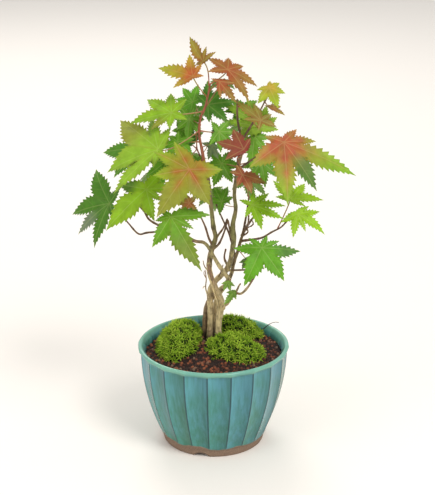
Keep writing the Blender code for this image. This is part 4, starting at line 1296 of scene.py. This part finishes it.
def bark_material(settings):
    """Smooth young maple bark: satin, streaked lengthwise, with dark blotches."""
    material, tree, place = new_material("young_maple_bark")
    tone = add(tree, "ShaderNodeAttribute", attribute_name="tone").node.outputs["Color"]
    along = add(tree, "ShaderNodeMapping", {"Vector": place, "Scale": (1.0, 1.0, 0.12)})
    streaks = add(tree, "ShaderNodeTexNoise", {"Vector": along, "Scale": cells(1.11), "Detail": 4.0})
    blotches = add(tree, "ShaderNodeTexNoise", {"Vector": place, "Scale": cells(3.85), "Detail": 3.0})
    shade = shaded_by(tree, tone, streaks, 0.55, 1.35)
    spots = {"Value": blotches, "From Min": 0.52, "From Max": 0.68, "To Max": 0.55}
    dark = add(tree, "ShaderNodeMapRange", spots)
    blotched = {"Factor": dark, "A": shade, "B": settings.crease_shade_and_blotch}
    shade = add(tree, "ShaderNodeMix", blotched, data_type="RGBA")
    relief = add(tree, "ShaderNodeMath", {0: streaks, 1: blotches}, operation="ADD")
    close_with(tree, shade, 0.6, relief, 0.6, 0.5)
    return material


def stem_tone(point, radius, name, settings, others):
    """Bark colour at a point: pale and old below, green above, red on thin shoots, darker towards the
    soil, with painted shade low on the hooked stem and in the creases between stems.
    """
    z = point.z
    old = 1.0 - smoothstep(*OLD_BARK, z + 14.0 * noise.noise(point * 0.08))
    shade = mix(settings.green_bark, settings.old_bark, old)
    shade = mix(shade, settings.weathered, 0.7 * smoothstep(0.0, 0.5, noise.noise(point * 0.11)))
    if name == "stem_hooked":
        # Painted shade low on the hooked stem.
        shade = mix(shade, settings.hooked_foot_shade, 0.8 * smoothstep(*HOOKED_FOOT_SHADE, z))
    thin = (1.0 - smoothstep(*THIN_SHOOT, radius)) * smoothstep(*YOUNG_BARK, z)
    shade = mix(shade, settings.red_bark, 0.85 * thin)
    # Darker towards the soil.
    shade = mix(shade, settings.bark_near_soil, 0.85 * smoothstep(*SOIL_LINE, z))
    if name == "stem_tall":
        shade = mix(shade, settings.leader, smoothstep(*LEADER, z))
    # Painted shade: the bark darkens to the crease colour where another stem comes close.
    nearest = min(((point - centre).length - size for centre, size in others), default=9.0)
    return mix(settings.crease_shade_and_blotch, shade, smoothstep(*CREASE_SHADE_REACH, nearest))


def stem_line(stem):
    """A stem's smooth route and its radius at each point, with a slight swell at the soil."""
    route = smooth_route(stem["route"], STEM_STEP)
    start, end = stem["radii"]
    sizes = []
    for i, point in enumerate(route):
        size = start + (end - start) * (i / (len(route) - 1)) ** 1.1
        sizes.append(size + 0.5 * smoothstep(*SOIL_LINE, point.z))
    return route, sizes


def grow_stem(bm, route, sizes, pitch, number):
    """A stem's tube, with a swelling at every node, ribs along it and knobs."""
    reached = [0.0]
    for a, b in zip(route, route[1:]):
        reached.append(reached[-1] + (b - a).length)

    def radius_at(i, point, angle):
        swell = math.exp(-((((reached[i] + 6.0 * number) % pitch) - pitch / 2) / 1.3) ** 2)
        around = Vector((math.cos(angle) * 1.6, math.sin(angle) * 1.6, reached[i] * 0.045 + number))
        rib = noise.noise(around)
        knob = noise.noise(point * 0.35)
        return sizes[i] * (1.04 + 0.13 * swell + 0.16 * rib + 0.12 * knob)

    sweep(bm, route, radius_at, STEM_SIDES)


def grow_twig(bm, points, number):
    """A twig's tube, thick at its joint, with nodes along it and a bud at its end."""
    route = smooth_route(points, TWIG_STEP)
    thick = LONG_TWIG_RADIUS if len(points) > 6 else TWIG_RADIUS
    last = len(route) - 1

    def radius_at(i, point, angle):
        swell = math.exp(-(((i * TWIG_STEP + 3.0 * number) % 11.0 - 5.5) / 0.9) ** 2)
        bud = 0.35 * smoothstep(last - 3, last - 1, i)
        joint = 0.5 * math.exp(-((i / 2.0) ** 2))
        size = thick + (TWIG_END_RADIUS - thick) * i / last
        return size * (1.0 + 0.22 * swell + bud + joint)

    sweep(bm, route, radius_at, TWIG_SIDES)


def grow_dry_twig(bm, thick, points):
    """A thin dead twig that tapers to half of its thickness."""
    route = smooth_route(points, DRY_STEP)
    sweep(bm, route, lambda i, point, angle: thick * (1.0 - 0.5 * i / len(route)), DRY_SIDES)


def stem_tones(bm, name, lines, settings):
    """The bark colour of every point of a stem and its twigs, with painted shade in the creases where
    another stem comes close.
    """
    others = []
    for other, (route, sizes) in lines.items():
        if other != name:
            others += list(zip(route[::2], sizes[::2]))
    others = [entry for entry in others if entry[0].z < CROSSING_TOP + 5.0]
    own = list(zip(*lines[name]))
    tones = []
    for vert in bm.verts:
        near = others if vert.co.z < CROSSING_TOP else ()
        away = min((vert.co - point).length for point, _ in own)
        radius = next(size for point, size in own if (vert.co - point).length <= away + 0.01)
        if away >= radius * 1.6:
            radius = 0.6  # it is on a twig
        tones.append(stem_tone(vert.co, radius, name, settings, near))
    return tones


def make_stems(settings):
    """Four stems grown together with their twigs, with nodes, painted shade in the creases between them,
    and dead stubs.
    """
    bark = bark_material(settings)
    lines = {name: stem_line(stem) for name, stem in STEMS.items()}
    for number, (name, stem) in enumerate(STEMS.items()):
        bm = bmesh.new()
        grow_stem(bm, *lines[name], settings.node_pitch / MM, number)
        for twig_number, points in enumerate(stem["twigs"]):
            grow_twig(bm, points, twig_number)
        for thick, *points in DRY_TWIGS.get(name, ()):
            grow_dry_twig(bm, thick, points)
        tones = stem_tones(bm, name, lines, settings)
        mesh = mesh_from(bm, name)
        set_colours(mesh, "tone", tones)
        place_piece(name, mesh, (bark,))


# ---------------------------------------------------------------- leaves


def leaf_axes(turn, rise):
    """The leaf's facing direction, and the directions right and up within its plane."""
    turn, rise = math.radians(turn), math.radians(rise)
    level = Vector((math.sin(turn), -math.cos(turn), 0.0))
    facing = level * math.cos(rise) + Vector((0.0, 0.0, math.sin(rise)))
    right = Vector((math.cos(turn), math.sin(turn), 0.0))
    return facing, right, facing.cross(right)


def bezier(points, t):
    """A point on the cubic curve with these four controls."""
    a, b, c, d = points
    u = 1.0 - t
    return a * u**3 + b * (3 * t * u * u) + c * (3 * t * t * u) + d * t**3


def lobe_edge(length, gap, notch, share, tooth, rows, seed):
    """One side of a lobe's toothed edge from its notch to its tip, as (across, along) points."""
    room = LOBE_ROOM * length * math.tan(math.radians(min(gap, WIDEST_GAP) / 2))
    width = min(share * length, room)
    half = math.radians(gap / 2)
    start = Vector((notch * math.sin(half), notch * math.cos(half)))
    reach = length - start.y
    shape = (
        start,
        Vector((max(LOBE_BELLY[0] * width, start.x), start.y + LOBE_BELLY[1] * reach)),
        Vector((LOBE_POINT[0] * width, start.y + LOBE_POINT[1] * reach)),
        Vector((0.0, length)),
    )
    stand_out, lean, fall_back = TOOTH
    points = []
    for k in range(1, rows):
        t = k / rows
        point = bezier(shape, t)
        tangent = (bezier(shape, min(t + 0.02, 1.0)) - bezier(shape, t - 0.02)).normalized()
        outward = Vector((tangent.y, -tangent.x))
        size = tooth * math.sin(math.pi * min(1.0, t + 0.12)) ** 0.6
        size *= 1.0 + 0.35 * noise.noise(Vector((seed, k * 1.7, length)))
        if k % 2:
            point = point + outward * stand_out * size + tangent * lean * size
        else:
            point = point - outward * fall_back * size
        points.append(Vector((max(point.x, 0.12), point.y)))
    return points


def rib_reach(size, rows, j):
    """How far along its rib a lobe's row j lies: first the palm's rows, then the lobe's own."""
    palm_end = PALM_SHARE * size
    if j <= PALM_ROWS:
        return palm_end * j / PALM_ROWS
    return palm_end + (size - palm_end) * ((j - PALM_ROWS) / rows) ** ROW_SPREAD


def half_lobe(leaf, i, side, sign, ribs, seam):
    """The rows of points from a lobe's rib to its edge on one side, from the hub outwards."""
    size, rows = leaf["lobes"][i][1], leaf["rows"][i]
    gap = i if side > 0 else i - 1
    half = math.radians(leaf["gaps"][gap] / 2)
    grid = []
    for j in range(1, PALM_ROWS + rows):
        base = Vector((0.0, rib_reach(size, rows, j)))
        past_palm = j - PALM_ROWS
        if past_palm <= 0:
            d = leaf["notches"][gap] * j / PALM_ROWS
            end, last = Vector((d * math.sin(half), d * math.cos(half))), seam[j - 1]
        else:
            end, last = leaf["edges"][i][side][past_palm - 1], None
        line = [ribs[j]]
        for t in COLUMNS:
            if t == 1.0 and last:
                line.append(last)
                continue
            spot = base.lerp(end, t)
            quilt = 0.0
            if past_palm > 0 and t < 1.0:
                quilt = (1.0 if past_palm % 2 == 0 else -0.6) * math.sin(math.pi * t)
            line.append(leaf["vertex"](i, side * spot.x, spot.y, t, spot.y / size, sign, quilt))
        grid.append(line)
    return grid


def half_lobe_faces(grid, hub, tip):
    """The corners of a half lobe's faces: around the hub, row by row, and at the tip."""
    faces = [(hub, a, b) for a, b in zip(grid[0], grid[0][1:])]
    for lower, upper in zip(grid, grid[1:]):
        for c in range(len(COLUMNS)):
            faces.append((lower[c], upper[c], upper[c + 1], lower[c + 1]))
    return faces + [(a, tip, b) for a, b in zip(grid[-1], grid[-1][1:])]


def blade_side(bm, veins, leaf, sign):
    """One face of a blade, and the points of its border in turn. A sign of 1 is the top."""
    hub = leaf["vertex"](0, 0.0, 0.0, 0.0, 0.0, sign)
    seams = []
    for i, gap in enumerate(leaf["gaps"]):
        half = math.radians(gap / 2)
        seam = []
        for j in range(1, PALM_ROWS + 1):
            d = leaf["notches"][i] * j / PALM_ROWS
            seam.append(leaf["vertex"](i, d * math.sin(half), d * math.cos(half), 1.0, 0.0, sign))
        seams.append(seam)
    border = []
    for i, (_, size) in enumerate(leaf["lobes"]):
        tip = leaf["vertex"](i, 0.0, size, 0.0, 1.0, sign)
        ribs = [hub]
        for j in range(1, PALM_ROWS + leaf["rows"][i]):
            y = rib_reach(size, leaf["rows"][i], j)
            ribs.append(leaf["vertex"](i, 0.0, y, 0.0, y / size, sign))
        outline = {}
        for side, seam in ((-1, seams[i - 1]), (1, seams[i])):
            grid = half_lobe(leaf, i, side, sign, ribs, seam)
            for corners in half_lobe_faces(grid, hub, tip):
                if (side > 0) != (sign > 0):
                    corners = tuple(reversed(corners))
                face = bm.faces.new(corners)
                for loop in face.loops:
                    loop[veins].uv = leaf["uv"][loop.vert]
            outline[side] = [line[-1] for line in grid[PALM_ROWS - 1 :]]
        border += outline[-1] + [tip] + outline[1][::-1][:-1]
    return border


def leaf_plan(name, lobes, tooth, number):
    """How a leaf is cut: its lobes, the gap and the notch after each, their rows and edges."""
    lobes = sorted(lobes)
    count = len(lobes)
    gaps = [(lobes[(i + 1) % count][0] - lobes[i][0]) % 360 for i in range(count)]
    sinus, share = OWN_CUT.get(name, CUT)
    notches, rows, edges = [], [], []
    for i, (_, size) in enumerate(lobes):
        shorter = min(size, lobes[(i + 1) % count][1])
        notches.append(sinus * shorter * (1.0 if gaps[i] < WIDE_SINUS else WIDE_SINUS_SHARE))
        teeth = round((4.0 + size / 9.0) * 2.7 / tooth)
        rows.append(2 * max(TEETH[0], min(TEETH[1], teeth)) + 1)
    for i, (_, size) in enumerate(lobes):
        spacing = 2.0 * 0.85 * size / rows[i]
        edges.append({})
        for side in (-1, 1):
            j = i - (side < 0)
            edges[i][side] = lobe_edge(
                size, gaps[j], notches[j], share, spacing, rows[i], number + side
            )
    return {"lobes": lobes, "gaps": gaps, "notches": notches, "rows": rows, "edges": edges}


def blade_tone(look, patch, far, across, along):
    """The blade's colour at a spot, flushed around the hub, along the ribs and along the edge.

    far is the distance from the hub as a share of the longest lobe, across runs from the rib to
    the edge, and along from the hub to the tip.
    """
    base, flush, at_hub, at_rib, at_edge = look
    strength = at_hub * math.exp(-((far / 0.42) ** 2)) * (0.75 + 0.5 * patch)
    strength += at_rib * (1.0 - across) ** 3 * (1.0 - 0.6 * along) * patch * 1.3
    strength += at_edge * across**3 * (0.4 + 0.9 * patch)
    return [c * (0.92 + 0.16 * patch) for c in mix(linear(base), linear(flush), strength)]


def add_stalk(bm, shades, line, facing, outward, thick, settings, number):
    """A leaf's stalk: it leaves the underside, bends over and ends on its twig."""
    start, end = line
    reach = (end - start).length
    bend = start - facing * min(5.0, 0.3 * reach) + outward * 0.15 * reach
    steps = max(8, round(reach / 1.5))
    route = [bezier((start, bend, end.lerp(bend, 0.4), end), i / steps) for i in range(steps + 1)]
    before = len(bm.verts)

    def radius_at(i, point, angle):
        foot = 0.5 * math.exp(-(((steps - i) / 1.3) ** 2))
        return thick * (1.0 + foot + 0.35 * math.exp(-i / 0.9))

    sweep(bm, route, radius_at, STALK_SIDES)
    for vert in list(bm.verts)[before:]:
        far = min(1.0, (vert.co - start).length / max(reach, 0.1))
        redness = 0.35 + 0.65 * far + 0.4 * noise.noise(Vector((number, far * 2.0, 0.0)))
        shades[vert] = mix(settings.stalk_green, settings.stalk_red, redness)


def make_leaf(name, row, settings, materials, number):
    """One leaf: a thin toothed blade with veins, and the stalk that carries it."""
    hub, face, stalk_end, lobes = row
    facing, right, up = leaf_axes(*face)
    hub = Vector(hub)
    leaf = leaf_plan(name, lobes, settings.tooth / MM, number)
    lobes, gaps = leaf["lobes"], leaf["gaps"]
    longest = max(size for _, size in lobes)
    # A leaf's own colours, with painted shade on some dark inner leaves.
    look = LEAF_LOOKS_AND_SHADE.get(name, DEEP if SLOTS[name] == "leaf_dark" else FRESH)
    bm = bmesh.new()
    veins = bm.loops.layers.uv.new("veins")
    shades, uv = {}, {}
    hang = DROOP * HANGING.get(name, 1.0)
    curl = 0.05 + 0.05 * noise.noise(Vector((number * 3.1, 0.5, 0.0)))

    def clock_way(clock):
        """The direction within the blade at this turn from straight up."""
        return up * math.cos(math.radians(clock)) + right * math.sin(math.radians(clock))

    def vertex(i, x, y, t, along, sign, quilt=0.0):
        """A point of the blade, x beside lobe i's rib and y along it, with its colour."""
        clock, size = lobes[i]
        beside = right * math.cos(math.radians(clock)) - up * math.sin(math.radians(clock))
        d = math.hypot(x, y)
        flat = clock_way(clock) * y + beside * x
        wave = noise.noise(flat * 0.11 + Vector((number * 7.0, 0, 0)))
        height = 0.16 * abs(x) - hang * d * d / longest + 1.1 * wave * d / longest
        height += 0.16 * quilt * min(1.0, size / 25.0) - curl * size * max(0.0, along) ** 4
        height -= 0.0 if sign > 0 else settings.thickness / MM
        vert = bm.verts.new(hub + flat + facing * height)
        patch = 0.5 + 0.8 * noise.noise(flat * 0.14 + Vector((0, number * 5.0, 9.0)))
        shade = blade_tone(look, patch, d / longest, t, along)
        # Some lobes take a tint of their own, and two take painted shade.
        if (name, clock) in LOBE_TONES_AND_SHADE:
            shade = mix(shade, linear(LOBE_TONES_AND_SHADE[name, clock]), 0.8 * smoothstep(0.2, 0.6, along))
        if sign < 0:
            shade = mix(shade, settings.underside, 0.4)
        shades[vert] = shade
        uv[vert] = (0.0 if t == 0.0 and along == 0.0 else max(0.0, along) * leaf["rows"][i] / 2.0, x)
        return vert

    leaf.update(vertex=vertex, uv=uv)
    top = blade_side(bm, veins, leaf, 1)
    bottom = blade_side(bm, veins, leaf, -1)
    for a, b in zip(range(len(top)), [*range(1, len(top)), 0]):
        bm.faces.new((top[a], top[b], bottom[b], bottom[a]))
    blade_faces = len(bm.faces)
    widest = max(range(len(gaps)), key=lambda i: gaps[i])
    outward = clock_way(lobes[widest][0] + gaps[widest] / 2)
    thick = settings.stalk_radius / MM * (1.0 if longest > 14 else 0.75)
    line = (hub - facing * 0.15, Vector(stalk_end))
    add_stalk(bm, shades, line, facing, outward, thick, settings, number)
    for index, bm_face in enumerate(bm.faces):
        bm_face.material_index = 1 if index >= blade_faces else 0
    tones = [shades[vert] for vert in bm.verts]
    mesh = mesh_from(bm, name)
    set_colours(mesh, "tone", tones)
    place_piece(name, mesh, materials)


def blade_material(name, roughness, through):
    """A maple leaf blade, grown, not made: a satin cuticle over a thin, light-passing blade.

    The tone is the leaf's own colour, with painted shade on some dark leaves and lobes. The ribs and
    side veins are paler, and a mesh of fine veins about 1 mm wide, coarser than life so that it shows,
    dimples the surface.
    """
    material, tree, place = new_material(name)
    tone = add(tree, "ShaderNodeAttribute", attribute_name="tone").node.outputs["Color"]
    on_blade = add(tree, "ShaderNodeUVMap", uv_map="veins")
    at = add(tree, "ShaderNodeSeparateXYZ", {0: on_blade}).node.outputs
    across = add(tree, "ShaderNodeMath", {0: at["Y"]}, operation="ABSOLUTE")
    limits = {"From Min": 0.12, "From Max": 0.5, "To Min": 1.0, "To Max": 0.0}
    smooth = {"interpolation_type": "SMOOTHSTEP"}
    rib = add(tree, "ShaderNodeMapRange", {"Value": across, **limits}, **smooth)
    # A side vein leaves the rib forwards, at about 45 degrees.
    slanted = add(tree, "ShaderNodeMath", {0: across, 1: -0.22, 2: at["X"]}, operation="MULTIPLY_ADD")
    phase = add(tree, "ShaderNodeMath", {0: slanted, 1: 1.0}, operation="PINGPONG")
    limits = {"From Min": 0.86, "From Max": 0.98, "To Max": 0.35}
    side_vein = add(tree, "ShaderNodeMapRange", {"Value": phase, **limits}, **smooth)
    vein = add(tree, "ShaderNodeMath", {0: rib, 1: side_vein}, operation="MAXIMUM")
    fine = {"Vector": place, "Scale": cells(1.11)}
    net = add(tree, "ShaderNodeTexVoronoi", fine, feature="DISTANCE_TO_EDGE")
    mottle = add(tree, "ShaderNodeTexNoise", {"Vector": place, "Scale": cells(4.55), "Detail": 4.0})
    shade = shaded_by(tree, tone, mottle, 0.88, 1.12)
    lit = {"Factor": 0.45, "A": shade, "B": linear("#d8e08c")}
    pale = add(tree, "ShaderNodeMix", lit, data_type="RGBA")
    vein_share = add(tree, "ShaderNodeMath", {0: vein, 1: 0.42}, operation="MULTIPLY")
    shade = add(tree, "ShaderNodeMix", {"Factor": vein_share, "A": shade, "B": pale}, data_type="RGBA")
    net_low = add(tree, "ShaderNodeMapRange", {"Value": net, "From Max": 0.12, "To Max": 0.4})
    relief = add(tree, "ShaderNodeMath", {0: vein, 1: -1.0, 2: net_low}, operation="MULTIPLY_ADD")
    bump = add(tree, "ShaderNodeBump", {"Height": relief, "Strength": 0.5, "Distance": 0.15 * MM})
    satin = {"Base Color": shade, "Roughness": roughness, "Specular IOR Level": 0.25, "Normal": bump}
    surface = add(tree, "ShaderNodeBsdfPrincipled", satin)
    behind = add(tree, "ShaderNodeBsdfTranslucent", {"Color": shade, "Normal": bump})
    shader = add(tree, "ShaderNodeMixShader", {0: through, 1: surface, 2: behind})
    add(tree, "ShaderNodeOutputMaterial", {"Surface": shader})
    return material


def stalk_material():
    """A leaf stalk: smooth, waxy skin, red where the sun reaches it."""
    material, tree, place = new_material("waxy_leaf_stalk")
    tone = add(tree, "ShaderNodeAttribute", attribute_name="tone").node.outputs["Color"]
    mottle = add(tree, "ShaderNodeTexNoise", {"Vector": place, "Scale": cells(2.0), "Detail": 2.0})
    shade = shaded_by(tree, tone, mottle, 0.8, 1.2, (0.0, 1.0))
    close_with(tree, shade, 0.4, mottle, 0.2, 0.1)
    return material


def make_leaves(settings):
    """Every leaf, with its blade's finish chosen by its material slot."""
    blades = {
        "leaf_light": blade_material("fresh_maple_leaf", 0.42, 0.38),
        "leaf_dark": blade_material("mature_maple_leaf", 0.38, 0.28),
        "leaf_red": blade_material("flushed_maple_leaf", 0.45, 0.34),
    }
    stalk = stalk_material()
    for number, (name, row) in enumerate(LEAVES.items()):
        make_leaf(name, row, settings, (blades[SLOTS[name]], stalk), number)


# ---------------------------------------------------------------- stage

# Each light: its name, its place in metres, its width in metres and its power in watts.
LIGHTS = (
    ("key_light", (0.75, -1.0, 1.5), 0.8, 21.0),
    ("fill_light", (-1.2, -0.9, 0.9), 1.2, 7.0),
    ("back_light", (-0.3, 1.4, 1.3), 1.0, 12.0),
)
LIGHTS_AIM = (0.0, 0.0, 0.14)
FLOOR_RADIUS = 4.0  # metres
LENS = 98.2
SENSOR = 36.0
CAMERA_TILT = 70.5  # degrees; 90 would look level
CAMERA_ASIDE = 2.97  # millimetres towards +X


def add_area_light(name, place, size, power, tint):
    """A round soft light that looks at the middle of the tree."""
    light = bpy.data.lights.new(name, "AREA")
    light.shape = "DISK"
    light.size = size
    light.energy = power
    light.color = tint[:3]
    lamp = bpy.data.objects.new(name, light)
    lamp.location = place
    lamp.rotation_euler = (Vector(LIGHTS_AIM) - Vector(place)).to_track_quat("-Z", "Y").to_euler()
    bpy.context.scene.collection.objects.link(lamp)


def make_stage(settings):
    """A plain pale floor, soft studio light and the camera."""
    bm = bmesh.new()
    bmesh.ops.create_circle(bm, cap_ends=True, radius=FLOOR_RADIUS, segments=96)
    mesh = mesh_from(bm, "floor", 1.0, smooth=False)
    material, tree, place = new_material("matt_painted_floor")
    grain = add(tree, "ShaderNodeTexNoise", {"Vector": place, "Scale": cells(3.33), "Detail": 2.0})
    roughness = add(tree, "ShaderNodeMapRange", {"Value": grain, "To Min": 0.75, "To Max": 0.85})
    inputs = {"Base Color": settings.floor, "Roughness": roughness}
    shader = add(tree, "ShaderNodeBsdfPrincipled", inputs)
    add(tree, "ShaderNodeOutputMaterial", {"Surface": shader})
    mesh.materials.append(material)
    floor = bpy.data.objects.new("floor", mesh)
    bpy.context.scene.collection.objects.link(floor)

    world = bpy.data.worlds.new("studio")
    world.use_nodes = True
    background = world.node_tree.nodes["Background"]
    background.inputs["Color"].default_value = linear("#f6f4f1")
    background.inputs["Strength"].default_value = 0.75
    scene = bpy.context.scene
    scene.world = world
    scene.view_settings.view_transform = "Standard"
    for name, place, size, power in LIGHTS:
        add_area_light(name, place, size, power, settings.light)

    camera_data = bpy.data.cameras.new("camera")
    camera_data.lens = LENS
    camera_data.sensor_width = SENSOR
    camera = bpy.data.objects.new("camera", camera_data)
    camera.location = (CAMERA_ASIDE * MM, -settings.distance, settings.height)
    camera.rotation_euler = (math.radians(CAMERA_TILT), 0.0, 0.0)
    scene.collection.objects.link(camera)
    scene.camera = camera


# ---------------------------------------------------------------- operators and panel


class BONSAI_OT_pot(bpy.types.Operator):
    """Makes the fluted, glazed pot."""

    bl_idname = "bonsai.pot"
    bl_label = "Pot"

    def execute(self, context):
        make_pot(context.scene.bonsai.pot)
        return {"FINISHED"}


class BONSAI_OT_net(bpy.types.Operator):
    """Gives the drain net its material."""

    bl_idname = "bonsai.net"
    bl_label = "Drain net"

    def execute(self, context):
        paint_net()
        return {"FINISHED"}


class BONSAI_OT_soil(bpy.types.Operator):
    """Makes the soil and its grains."""

    bl_idname = "bonsai.soil"
    bl_label = "Soil"

    def execute(self, context):
        make_soil(context.scene.bonsai.soil)
        return {"FINISHED"}


class BONSAI_OT_moss(bpy.types.Operator):
    """Makes the three moss cushions."""

    bl_idname = "bonsai.moss"
    bl_label = "Moss"

    def execute(self, context):
        make_moss(context.scene.bonsai.moss)
        return {"FINISHED"}


class BONSAI_OT_stems(bpy.types.Operator):
    """Makes the four twisted stems and their twigs."""

    bl_idname = "bonsai.stems"
    bl_label = "Stems"

    def execute(self, context):
        make_stems(context.scene.bonsai.stems)
        return {"FINISHED"}


class BONSAI_OT_leaves(bpy.types.Operator):
    """Makes every leaf with its stalk."""

    bl_idname = "bonsai.leaves"
    bl_label = "Leaves"

    def execute(self, context):
        make_leaves(context.scene.bonsai.leaves)
        return {"FINISHED"}


class BONSAI_OT_stage(bpy.types.Operator):
    """Makes the floor, the lights and the camera."""

    bl_idname = "bonsai.stage"
    bl_label = "Stage"

    def execute(self, context):
        make_stage(context.scene.bonsai.stage)
        return {"FINISHED"}


OPERATORS = (
    BONSAI_OT_pot, BONSAI_OT_net, BONSAI_OT_soil, BONSAI_OT_moss, BONSAI_OT_stems,
    BONSAI_OT_leaves, BONSAI_OT_stage,
)


class BONSAI_PT_panel(bpy.types.Panel):
    """Lists the pieces of the bonsai."""

    bl_label = "Maple bonsai"
    bl_space_type = "VIEW_3D"
    bl_region_type = "UI"
    bl_category = "Bonsai"

    def draw(self, context):
        for operator in OPERATORS:
            self.layout.operator(operator.bl_idname)


CLASSES = (
    PotSettings, SoilSettings, MossSettings, StemSettings, LeafSettings, StageSettings,
    BonsaiSettings, *OPERATORS, BONSAI_PT_panel,
)


def register():
    for cls in CLASSES:
        bpy.utils.register_class(cls)
    bpy.types.Scene.bonsai = PointerProperty(type=BonsaiSettings)


def unregister():
    del bpy.types.Scene.bonsai
    for cls in reversed(CLASSES):
        bpy.utils.unregister_class(cls)


def main():
    """Makes every piece and the stage."""
    register()
    for operator in OPERATORS:
        group, name = operator.bl_idname.split(".")
        getattr(getattr(bpy.ops, group), name)()


if __name__ == "__main__":
    main()
